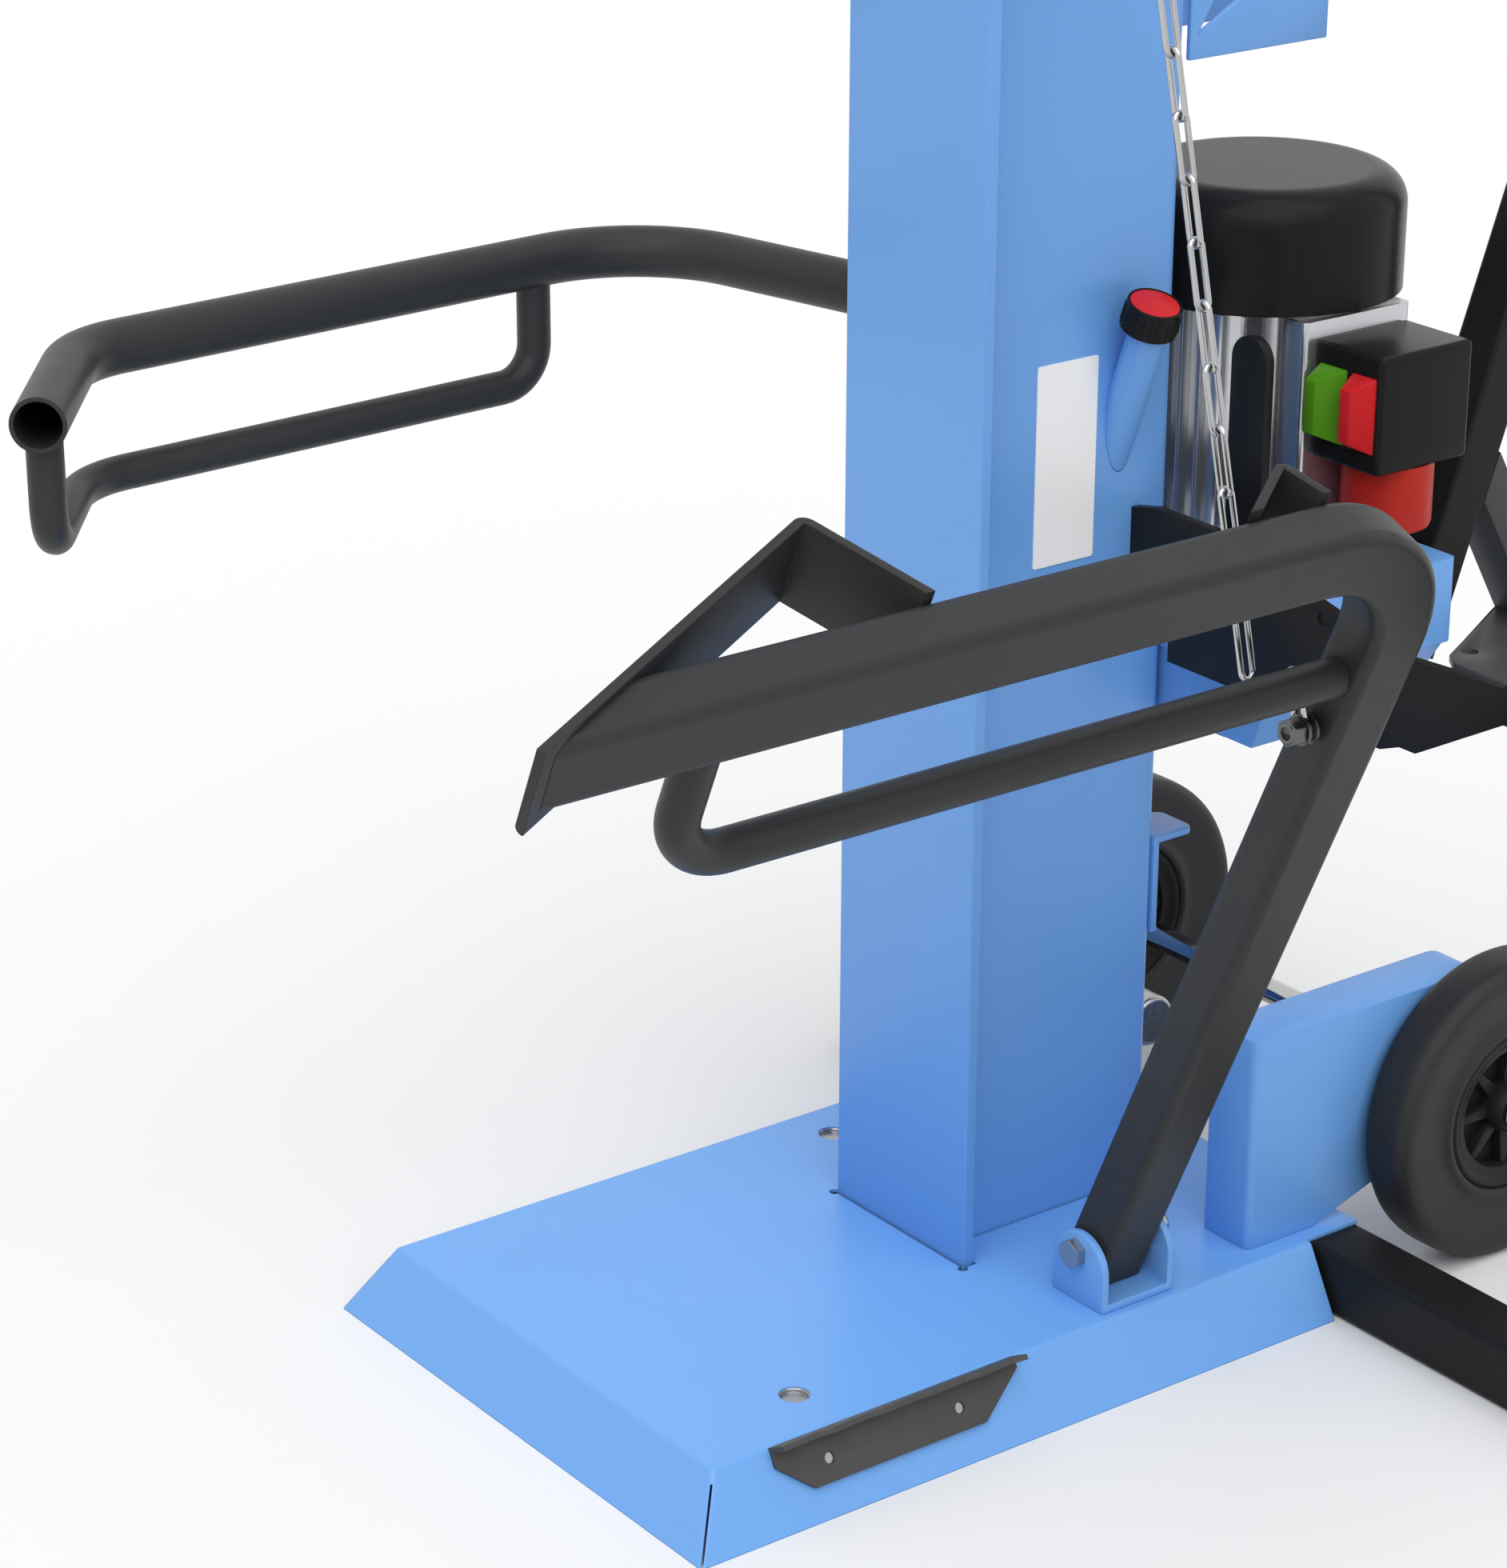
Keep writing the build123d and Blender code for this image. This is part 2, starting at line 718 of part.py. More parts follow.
def motor():
    y = motor_y
    with BuildPart() as body:
        rod((0, y, console_top), (0, y, motor_bottom), fin_radius - 3)
        rod((0, y, motor_bottom), (0, y, motor_top), motor_radius)
        with BuildSketch(Plane.XY.offset(motor_bottom)):
            with Locations((0, y)):
                with PolarLocations(motor_radius + 4, fin_count):
                    Rectangle(12, 2.6)
        extrude(amount=motor_top - motor_bottom - 4)
        rod((0, y, console_top - 1), (0, y, motor_top + 1), shaft_radius + run_gap,
            Mode.SUBTRACT)
    with BuildPart() as cowl:
        rod((0, y, motor_top), (0, y, motor_top + cowl_height), cowl_radius)
        fillet(cowl.faces().sort_by(Axis.Z)[-1].edges(), 25)
        rod((0, y, motor_top + 6), (0, y, motor_top + cowl_height - 10), cowl_radius - 10,
            Mode.SUBTRACT)
        rod((0, y, motor_top - 1), (0, y, motor_top + 7), shaft_radius + 6, Mode.SUBTRACT)
    with BuildPart() as shaft:
        rod((0, y, gear_low), (0, y, motor_top + 60), shaft_radius)
        add(gear(0, 0))
    with BuildPart() as fan:
        low = motor_top + 16
        rod((0, y, low), (0, y, low + 40), 22)
        with BuildSketch(Plane.XY.offset(low)):
            with Locations((0, y)):
                with PolarLocations(50, 9):
                    Rectangle(66, 3)
        extrude(amount=34)
        rod((0, y, low), (0, y, low + 3), 84)
        rod((0, y, low - 1), (0, y, low + 41), shaft_radius + run_gap, Mode.SUBTRACT)
    return body.part, cowl.part, shaft.part, fan.part


def terminal_block():
    with BuildPart() as cover:
        block((73, 100), (172, 274), (motor_bottom, 723))
        fillet(cover.edges().filter_by(Axis.Z).group_by(Axis.X)[-1], 4)
        rod((0, motor_y, motor_bottom - 1), (0, motor_y, 724), fin_radius + 0.4, Mode.SUBTRACT)
    return cover.part


switch_x = (100, 168)
switch_y = (182, 270)
switch_z = (625, 711)
button_height = (640, 695)
button_front_height = (647, 685)
button_travel = 4
button_seat = 8
green_x = (105.7, 132.5)
red_x = (138.3, 161.8)
green_reach = 15
red_reach = 12


def switch_box():
    with BuildPart() as box:
        block(switch_x, switch_y, switch_z)
        fillet(box.edges(), 3)
        for xs in (green_x, red_x):
            wide = (xs[0] - slide_gap, xs[1] + slide_gap)
            tall = (button_height[0] - slide_gap, button_height[1] + slide_gap)
            deep = (switch_y[0] - 1, switch_y[0] + button_seat + button_travel + slide_gap)
            block(wide, deep, tall, Mode.SUBTRACT)
    return box.part


def button(xs, proud):
    front = switch_y[0] - proud
    with BuildPart() as cap:
        block(xs, (switch_y[0], switch_y[0] + button_seat), button_height)
        middle_z = sum(button_height) / 2
        with BuildSketch(Plane.XZ.offset(-switch_y[0])):
            with Locations((sum(xs) / 2, middle_z)):
                Rectangle(xs[1] - xs[0], button_height[1] - button_height[0])
        with BuildSketch(Plane.XZ.offset(-front)):
            with Locations((xs[0] + 5.5, sum(button_front_height) / 2)):
                Rectangle(11, button_front_height[1] - button_front_height[0])
        loft()
    return cap.part


inlet_x = 134
inlet_y = 226
inlet_radius = 33
inlet_length = 50


def power_inlet():
    with BuildPart() as inlet:
        rod((inlet_x, inlet_y, switch_z[0] - inlet_length), (inlet_x, inlet_y, switch_z[0]),
            inlet_radius)
        fillet(inlet.faces().sort_by(Axis.Z)[0].edges(), 5)
    return inlet.part


pump_top = 430
pump_low = 402
pump_x = (-62, 58)
pump_y = (155, 255)
gear_radius = 17
gear_gap = 2 * gear_radius - 2
gear_low = 407
gear_thick = 12


def gear(x, turn):
    teeth = 12
    with BuildPart() as wheel_part:
        with BuildSketch(Plane.XY.offset(gear_low)):
            with Locations((x, motor_y)):
                Circle(gear_radius - 3)
                with PolarLocations(gear_radius - 2, teeth, start_angle=turn):
                    Rectangle(5, 2.6)
        extrude(amount=gear_thick)
    return wheel_part.part


def pump():
    with BuildPart() as body:
        block(pump_x, pump_y, (pump_low, pump_top))
        fillet(body.edges().filter_by(Axis.Z), 6)
        for x in (0, -gear_gap):
            rod((x, motor_y, gear_low - 1), (x, motor_y, gear_low + gear_thick + 1),
                gear_radius + 1.5, Mode.SUBTRACT)
        rod((0, motor_y, gear_low + gear_thick), (0, motor_y, pump_top + 1), shaft_radius + run_gap,
            Mode.SUBTRACT)
    return body.part


# ---------------------------------------------------------- small pieces
def arm_bracket():
    low = 66
    top = 598
    points = [(box_half, top - 42), (box_half, top - 4), (66, top + 1), (124, top + 1)]
    points += [(310, 560), (408, 566)]
    points += [(twin_x - 10, 600), (twin_x, 600), (twin_x, 542), (410, 541), (333, 497)]
    points += [(318, 497), (300, 490), (85.7, 490), (85.7, top - 42)]
    with BuildPart() as plate:
        outline(Plane.XZ.offset(-low - 8), points, 8)
        rod((238, low - 1, 565), (238, low + 9, 565), 4, Mode.SUBTRACT)
        block((twin_x - 25, twin_x), (low + 8, twin_y + 18), (twin_z - 25, twin_z + 25))
        rod((twin_x, twin_y, twin_z), (twin_x + 27, twin_y, twin_z), 8)
        rod((twin_x + 27, twin_y, twin_z), (twin_x + 31, twin_y, twin_z), 11)
    return plate.part


def link_bar():
    with BuildPart() as bar:
        with BuildSketch(Plane.XZ.offset(-134)):
            with Locations((92, (console_top + 702) / 2)):
                Rectangle(36, 702 - console_top)
            with Locations((92, 702)):
                Circle(18)
        extrude(amount=8)
    return bar.part


filler_lean = 21
filler_y = 53
filler_z = 662
filler_radius = 14.3
filler_wall = 3
filler_length = 73
cap_radius = 21
cap_height = 21.7
plug_length = 14
dipstick_length = 50
dipstick_radius = 2


def oil_filler():
    tilt_angle = radians(filler_lean)
    up = Vector(sin(tilt_angle), 0, cos(tilt_angle))
    foot = Vector(box_half, filler_y, filler_z)
    top = foot + up * filler_length
    with BuildPart() as tube:
        rod(tuple(foot - up * 60), tuple(top), filler_radius)
        rod(tuple(foot - up * 50), tuple(top + up), filler_radius - filler_wall, Mode.SUBTRACT)
        block((box_half - 100, box_half), (0, 110), (500, 800), Mode.SUBTRACT)
    with BuildPart() as cap:
        rod(tuple(top + up * 0.3), tuple(top + up * (0.3 + cap_height)), cap_radius)
        fillet(cap.faces().sort_by(Axis.Z)[-1].edges(), 1.5)
        rod(tuple(top - up * plug_length), tuple(top + up), filler_radius - filler_wall - 0.3)
        rod(tuple(top - up * dipstick_length), tuple(top), dipstick_radius)
    return tube.part, cap.part


def top_brackets():
    top = box_height + top_plate_thick
    rear = 230
    points = [(box_back, 909), (rear, 909), (rear, top), (85, top), (85, 975)]
    points += [(box_back, 975)]
    with BuildPart() as plates:
        for side in (-1, 1):
            low = box_half if side > 0 else -box_half - 4
            outline(Plane.YZ.offset(low), points, 4)
            window = [(108, 926), (205, 978), (205, 988), (146, 988)]
            outline(Plane.YZ.offset(low - 1), window, 6, Mode.SUBTRACT)
        block((-box_half - 4, box_half + 4), (rear - 4, rear), (995, top))
    return plates.part


filter_y = 130
filter_z = 165
filter_radius = 20
lug_wall = 5
lug_top = 331
lug_reach = 39


def oil_filter():
    with BuildPart() as canister:
        rod((-62, filter_y, filter_z), (18, filter_y, filter_z), filter_radius)
        fillet(canister.edges(), 4)
        block((-34, -14), (box_back, filter_y - 14), (filter_z - 12, filter_z + 12))
    with BuildPart() as lug:
        block((-box_half, box_half), (box_back, box_back + lug_wall), (255, lug_top))
        block((2, box_half), (box_back, box_back + lug_reach), (lug_top - lug_wall, lug_top))
        fillet(lug.edges().filter_by(Axis.Z).group_by(Axis.Y)[-1], 8)
    return canister.part, lug.part


frame_lean = 20
frame_side = 40
frame_wall = 2.5
frame_x = 92
frame_foot_y = 280
frame_top = 1090
frame_overlap = 30
grip_radius = 14
grip_half = 110
strut_high = 560
strut_low = 454
strut_front = 412.5
strut_thick = 34.6
support_thick = 6


def rear_frame():
    slope = radians(frame_lean)
    up = Vector(0, sin(slope), cos(slope))
    half = frame_side / 2
    middle = Vector(0, frame_foot_y + half / cos(slope), console_low)
    length = (frame_top - console_low) / cos(slope)
    with BuildPart() as frame:
        foot = middle + Vector(frame_x, 0, 0) - up * frame_overlap
        with BuildSketch(Plane(origin=foot, x_dir=(1, 0, 0), z_dir=up)):
            RectangleRounded(frame_side, frame_side, 4)
            hole = frame_side - 2 * frame_wall
            RectangleRounded(hole, hole, 1.5, mode=Mode.SUBTRACT)
        extrude(amount=length + frame_overlap)
        block((-frame_x, frame_x), (console_rear, frame_foot_y + 12), (500, 540))
        shelf_top = 510
        block((frame_x - half + 4, frame_x + half - 4), (console_rear, frame_foot_y + 14),
              (shelf_top - 10, shelf_top))
        grip_at = middle + up * (length + grip_radius - 4)
        rod((frame_x - grip_half, grip_at.Y, grip_at.Z), (frame_x + grip_half, grip_at.Y, grip_at.Z),
            grip_radius)
    return frame.part


def rear_support():
    slope = radians(frame_lean)
    top_front = frame_foot_y + frame_side / cos(slope) + (strut_high - console_low) * tan(slope)
    lean_back = (strut_front - top_front) / (strut_high - strut_low)
    rise = strut_thick / (lean_back + tan(slope))
    points = [(141, 299), (240, 299), (240, 455), (49, 455), (125, 311)]
    strut = [(top_front, strut_high), (strut_front, strut_low)]
    strut += [(strut_front + strut_thick, strut_low)]
    strut += [(top_front + rise * tan(slope), strut_high + rise)]
    with BuildPart() as support:
        outline(Plane.XY.offset(strut_low - support_thick), points, support_thick)
        rod((129.6, 327.9, strut_low - 7), (129.6, 327.9, strut_low + 1), 6, Mode.SUBTRACT)
        outline(Plane.YZ.offset(frame_x - frame_side / 2), strut, frame_side)
    return support.part


# --------------------------------------------------------------- levers
# Local frame of a lever: X runs out from its mounting face, Z is up, and the origin is on
# the tilt axis. The left one is mirrored into place, the twin is folded up about that axis.
swing_x = 58
swing_y = -36
yoke_half = lever_radius + slide_gap + 5
lever_start = (40, -31.8)
lever_corner = (297, -91)
lever_front = (275, -577)
lever_end = (144, -675)


def yoke():
    with BuildPart() as body:
        block((slide_gap, 26.5), (-20, 20), (-yoke_half, yoke_half))
        points = [(slide_gap, 20), (26.5, 20), (74, -20), (74, -50), (46, -50), (slide_gap, -20)]
        for low in (-yoke_half, yoke_half - 5):
            outline(Plane.XY.offset(low), points, 5)
        rod((0, 0, 0), (27, 0, 0), 8 + run_gap, Mode.SUBTRACT)
        rod((swing_x, swing_y, -yoke_half - 5), (swing_x, swing_y, yoke_half + 3), 6)
        hexagon((swing_x, swing_y, yoke_half), (swing_x, swing_y, yoke_half + 6), 18)
    return body.part


def lever():
    with BuildPart() as tube:
        points = [(x, y, 0) for x, y in (lever_start, lever_corner, lever_front, lever_end)]
        round_tube(points, [105, 75], lever_radius, lever_wall)
        rod((swing_x, swing_y, -30), (swing_x, swing_y, 30), 6 + run_gap, Mode.SUBTRACT)
    back_y = lever_corner[1] - 99
    along = (lever_front[0] - lever_corner[0]) / (lever_front[1] - lever_corner[1])
    back = (lever_corner[0] + along * (back_y - lever_corner[1]), back_y)
    finish = Vector(lever_end[0] - lever_front[0], lever_end[1] - lever_front[1]).normalized()
    stub = Vector(*lever_end) - finish * 20
    with BuildPart() as guard:
        points = [(back[0], back_y, -10), (back[0], back_y, -guard_drop)]
        points += [(lever_front[0], lever_front[1], -guard_drop)]
        points += [(stub.X, stub.Y, -guard_drop), (stub.X, stub.Y, -10)]
        round_tube(points, [30, 75, 30], guard_radius, 2.5)
        rod((back[0] - along * 60, back_y - 60, 0), (back[0] + along * 60, back_y + 60, 0),
            lever_radius, Mode.SUBTRACT)
        low = stub - finish * 60
        high = stub + finish * 60
        rod((low.X, low.Y, 0), (high.X, high.Y, 0), lever_radius, Mode.SUBTRACT)
    return Compound(children=tube.solids() + guard.solids())


def left_mount():
    x = -box_half
    with BuildPart() as mount:
        block((x - 6, x), (lever_tilt_y - 40, lever_tilt_y + 40), (lever_z - 45, lever_z + 45))
        rod((x - 6, lever_tilt_y, lever_z), (x - 33, lever_tilt_y, lever_z), 8)
        rod((x - 33, lever_tilt_y, lever_z), (x - 37, lever_tilt_y, lever_z), 11)
    return mount.part


def valve():
    x = -62
    y = -12
    with BuildPart() as body:
        block((-84, -box_half), (-30, 60), (560, 650))
        rod((x, y, 600), (x, y, 651), 6 + run_gap, Mode.SUBTRACT)
    with BuildPart() as spool:
        rod((x, y, 606), (x, y, lever_z - yoke_half - 0.6), 6)
    return body.part, spool.part


# ------------------------------------------------------------- assembly
save(base_tray(), "base_tray")
save(anchor_inserts(), "anchor_inserts")
plate_part, screw_part = toothed_plate()
save(plate_part, "toothed_plate")
save(sole_plate(), "sole_plate")
for part, name in zip(stabiliser(), ("stabiliser_tube", "stabiliser_end_caps")):
    save(part, name)
for part, name in zip(column(), ("column_box", "column_flange", "column_top_plate")):
    save(part, name)
for part, name in zip(cylinder(), ("cylinder_tube", "piston_rod")):
    save(part, name)
for part, name in zip(carriage(), ("carriage_guide", "guide_pads", "bridge_plate", "wedge_blade")):
    save(part, name)
save(bolt_with_neck(hook_x, hook_z, hook_y, cheek_back - 8, cheek_back, 10), "chain_hook_bolt")
save(chain_links(), "chain_links")
chain_bolt_at = lifter_point(0, 0, chain_bolt_height)
save(bolt_with_neck(chain_bolt_at.X, chain_bolt_at.Z, hook_y, arm_centre_y - arm_width / 2,
                    arm_centre_y + arm_width / 2, 15), "chain_bolt")
save(chain_end_links(), "chain_end_links")
for part, name in zip(clevis(), ("lifter_clevis", "lifter_pivot_bolt")):
    save(part, name)
save(lifter_arm(), "lifter_arm")
for part, name in zip(lifter_teeth(), ("lifter_front_tooth", "lifter_rear_tooth")):
    save(part, name)
save(brace_tube(), "lifter_brace_tube")
for side, word in ((1, "right"), (-1, "left")):
    for part, name in zip(wheel(side), ("tyre", "rim")):
        save(part, f"{name}_{word}")
save(Compound(children=[wheel_bracket(side).solid() for side in (-1, 1)]), "wheel_brackets")
save(axle(), "axle")
save(console(), "motor_console")
for part, name in zip(motor(), ("motor_body", "fan_cowl", "motor_shaft", "cooling_fan")):
    save(part, name)
save(terminal_block(), "terminal_block")
save(switch_box(), "switch_box")
save(button(green_x, green_reach), "start_button")
save(button(red_x, red_reach), "stop_button")
save(power_inlet(), "power_inlet")
save(pump(), "pump_body")
save(gear(-gear_gap, 15), "driven_gear")
save(arm_bracket(), "arm_bracket_right")
save(screw_part, "fasteners")
save(link_bar(), "control_link_bar")
for part, name in zip(oil_filler(), ("oil_filler_tube", "filler_cap")):
    save(part, name)
save(top_brackets(), "top_bracket_plates")
for part, name in zip(oil_filter(), ("oil_filter_canister", "rear_lug")):
    save(part, name)
save(rear_frame(), "rear_handle_frame")
save(rear_support(), "rear_support")
save(left_mount(), "left_lever_mount")
for part, name in zip(valve(), ("valve_block", "valve_spool")):
    save(part, name)

yoke_part = yoke()
lever_part = lever()
left_place = Location((-box_half - 6, lever_tilt_y, lever_z))
right_place = Location((twin_x, twin_y, twin_z), (-twin_fold, 0, 0))
for part, name in ((yoke_part, "yoke"), (lever_part, "lever")):
    save(left_place * mirror(part, about=Plane.YZ), f"left_{name}")
    save(right_place * part, f"right_{name}")
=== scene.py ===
import json
import math
import bmesh
import bpy
from mathutils import Matrix, Vector

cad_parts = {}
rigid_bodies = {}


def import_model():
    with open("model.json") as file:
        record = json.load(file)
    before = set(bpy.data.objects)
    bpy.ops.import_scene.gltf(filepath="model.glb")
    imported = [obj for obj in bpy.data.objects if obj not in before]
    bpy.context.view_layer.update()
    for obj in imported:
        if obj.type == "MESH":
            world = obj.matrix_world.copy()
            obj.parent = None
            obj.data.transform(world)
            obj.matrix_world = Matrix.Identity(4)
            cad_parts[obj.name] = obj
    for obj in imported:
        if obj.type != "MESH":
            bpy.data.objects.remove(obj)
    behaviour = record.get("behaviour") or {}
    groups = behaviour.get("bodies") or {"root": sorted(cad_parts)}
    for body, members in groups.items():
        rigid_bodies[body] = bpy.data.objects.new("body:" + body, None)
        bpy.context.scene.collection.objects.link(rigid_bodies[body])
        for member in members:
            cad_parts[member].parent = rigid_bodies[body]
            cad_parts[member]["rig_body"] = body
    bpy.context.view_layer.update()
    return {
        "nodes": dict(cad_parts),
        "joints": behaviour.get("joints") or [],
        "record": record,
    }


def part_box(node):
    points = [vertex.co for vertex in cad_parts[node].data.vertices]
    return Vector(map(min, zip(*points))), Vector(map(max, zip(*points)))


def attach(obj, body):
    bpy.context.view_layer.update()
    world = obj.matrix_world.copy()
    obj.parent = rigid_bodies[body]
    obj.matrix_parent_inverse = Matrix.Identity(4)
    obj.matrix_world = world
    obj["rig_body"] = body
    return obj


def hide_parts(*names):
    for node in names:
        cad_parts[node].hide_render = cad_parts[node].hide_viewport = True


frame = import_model()
nodes = frame["nodes"]
bodyOf = {name: node["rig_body"] for name, node in nodes.items()}
slotOf = {part["node"]: part["material_slot"] for part in frame["record"]["subparts"]}
mm = 0.001
near = 0.0001  # a point this close to a plane lies on it
print("frame loaded,", len(nodes), "CAD nodes")


# camera: long lens, far off to the front right, looking down at the lower half
camera = {"place": (2.247606, -1.916240, 1.557), "azimuth": 53.55, "elevation": 22.172,
          "lens": 100.23, "shift": (0.01435, 0.02283)}
turn, tilt = math.radians(camera["azimuth"]), math.radians(camera["elevation"])
towards = Vector((-math.sin(turn) * math.cos(tilt), math.cos(turn) * math.cos(tilt), -math.sin(tilt)))
eye = bpy.data.objects.new("camera", bpy.data.cameras.new("camera"))
bpy.context.scene.collection.objects.link(eye)
eye.location = camera["place"]
eye.rotation_mode = "QUATERNION"
eye.rotation_quaternion = towards.to_track_quat("-Z", "Y")
eye.data.sensor_width = 36
eye.data.lens = camera["lens"]
eye.data.shift_x, eye.data.shift_y = camera["shift"]
eye.data.clip_end = 100
bpy.context.scene.camera = eye
bpy.context.scene.view_settings.view_transform = "Standard"


# studio: pale floor, wide soft sun, sky that is brightest overhead
studio = {"floorSize": 60, "floorColour": (0.78, 0.78, 0.78, 1), "floorRoughness": 0.9,
          "floorSheen": 0.1, "skyLow": 0.12, "skyHigh": 1.2, "sunFrom": (0.55, -0.35, 1.0),
          "sunAngle": 75, "sunStrength": 1.7, "sunDistance": 3}
sun = bpy.data.lights.new("softSun", "SUN")
sun.energy = studio["sunStrength"]
sun.angle = math.radians(studio["sunAngle"])
sunHolder = bpy.data.objects.new("softSun", sun)
bpy.context.scene.collection.objects.link(sunHolder)
sunHolder.location = Vector(studio["sunFrom"]) * studio["sunDistance"]
sunHolder.rotation_mode = "QUATERNION"
sunHolder.rotation_quaternion = Vector(studio["sunFrom"]).to_track_quat("Z", "Y")


def addNode(tree, kind, **values):
    node = tree.nodes.new(kind)
    for key, value in values.items():
        if key in node.inputs:
            node.inputs[key].default_value = value
        else:
            setattr(node, key, value)
    return node


def mathNode(tree, operation, first, second):
    node = addNode(tree, "ShaderNodeMath", operation=operation)
    for i, value in enumerate((first, second)):
        if isinstance(value, (int, float)):
            node.inputs[i].default_value = value
        else:
            tree.links.new(value, node.inputs[i])
    return node.outputs[0]


sky = bpy.data.worlds.new("paleSky")
bpy.context.scene.world = sky
sky.use_nodes = True
skyTree = sky.node_tree
skyPaint = skyTree.nodes["Background"]
skyPaint.inputs["Color"].default_value = (1, 1, 1, 1)
direction = addNode(skyTree, "ShaderNodeTexCoord")
split = addNode(skyTree, "ShaderNodeSeparateXYZ")
skyTree.links.new(direction.outputs["Generated"], split.inputs[0])
overhead = addNode(skyTree, "ShaderNodeMapRange")
overhead.inputs["To Min"].default_value = studio["skyLow"]
overhead.inputs["To Max"].default_value = studio["skyHigh"]
skyTree.links.new(split.outputs["Z"], overhead.inputs["Value"])
rays = addNode(skyTree, "ShaderNodeLightPath")
seen = mathNode(skyTree, "MAXIMUM", rays.outputs["Is Camera Ray"], rays.outputs["Is Glossy Ray"])
seen = mathNode(skyTree, "MAXIMUM", seen, rays.outputs["Is Transmission Ray"])
unseen = mathNode(skyTree, "SUBTRACT", 1, seen)
lightPart = mathNode(skyTree, "MULTIPLY", unseen, overhead.outputs["Result"])
skyTree.links.new(mathNode(skyTree, "ADD", seen, lightPart), skyPaint.inputs["Strength"])


# finishes
def noiseAt(tree, scale, detail=4, stretch=(1, 1, 1)):
    place = addNode(tree, "ShaderNodeTexCoord")
    spread = addNode(tree, "ShaderNodeMapping", Scale=stretch)
    noise = addNode(tree, "ShaderNodeTexNoise", Scale=scale, Detail=detail)
    tree.links.new(place.outputs["Object"], spread.inputs["Vector"])
    tree.links.new(spread.outputs["Vector"], noise.inputs["Vector"])
    return noise.outputs["Fac"]


def cellsAt(tree, scale):
    place = addNode(tree, "ShaderNodeTexCoord")
    cells = addNode(tree, "ShaderNodeTexVoronoi", Scale=scale)
    tree.links.new(place.outputs["Object"], cells.inputs["Vector"])
    return cells.outputs["Distance"]


def between(tree, value, low, high):
    ranged = addNode(tree, "ShaderNodeMapRange")
    ranged.inputs["To Min"].default_value = low
    ranged.inputs["To Max"].default_value = high
    tree.links.new(value, ranged.inputs["Value"])
    return ranged.outputs["Result"]


def tinted(tree, value, colour, change):
    mix = addNode(tree, "ShaderNodeMix", data_type="RGBA")
    mix.inputs["A"].default_value = tuple(c * (1 - change) for c in colour) + (1,)
    mix.inputs["B"].default_value = tuple(min(1, c * (1 + change)) for c in colour) + (1,)
    tree.links.new(value, mix.inputs["Factor"])
    return mix.outputs["Result"]


def makeFinish(name, look):
    material = bpy.data.materials.new(name)
    material.use_nodes = True
    tree = material.node_tree
    shader = tree.nodes["Principled BSDF"]
    shader.inputs["Metallic"].default_value = look.get("metal", 0)
    shader.inputs["IOR"].default_value = look.get("ior", 1.5)
    shader.inputs["Specular IOR Level"].default_value = look.get("sheen", 0.5)
    # slow changes of colour, quicker ones of polish, then the fine grain
    broad = noiseAt(tree, look["patch"], detail=3)
    tree.links.new(tinted(tree, broad, look["colour"], look["change"]), shader.inputs["Base Color"])
    stretch = look.get("stretch", (1, 1, 1))
    cloud = noiseAt(tree, look["patch"] * 6, detail=5, stretch=stretch)
    rough = look["roughness"]
    tree.links.new(between(tree, cloud, rough - look["varies"], rough + look["varies"]),
                   shader.inputs["Roughness"])
    if look["grain"] == "cells":
        grain = cellsAt(tree, look["grainScale"])
    else:
        grain = noiseAt(tree, look["grainScale"], detail=2, stretch=stretch)
    bump = addNode(tree, "ShaderNodeBump", Strength=look["grainStrength"], Distance=look["grainDepth"])
    tree.links.new(grain, bump.inputs["Height"])
    if "edge" in look:
        edge = addNode(tree, "ShaderNodeBevel", samples=4, Radius=look["edge"])
        tree.links.new(edge.outputs["Normal"], bump.inputs["Normal"])
    tree.links.new(bump.outputs["Normal"], shader.inputs["Normal"])
    return material


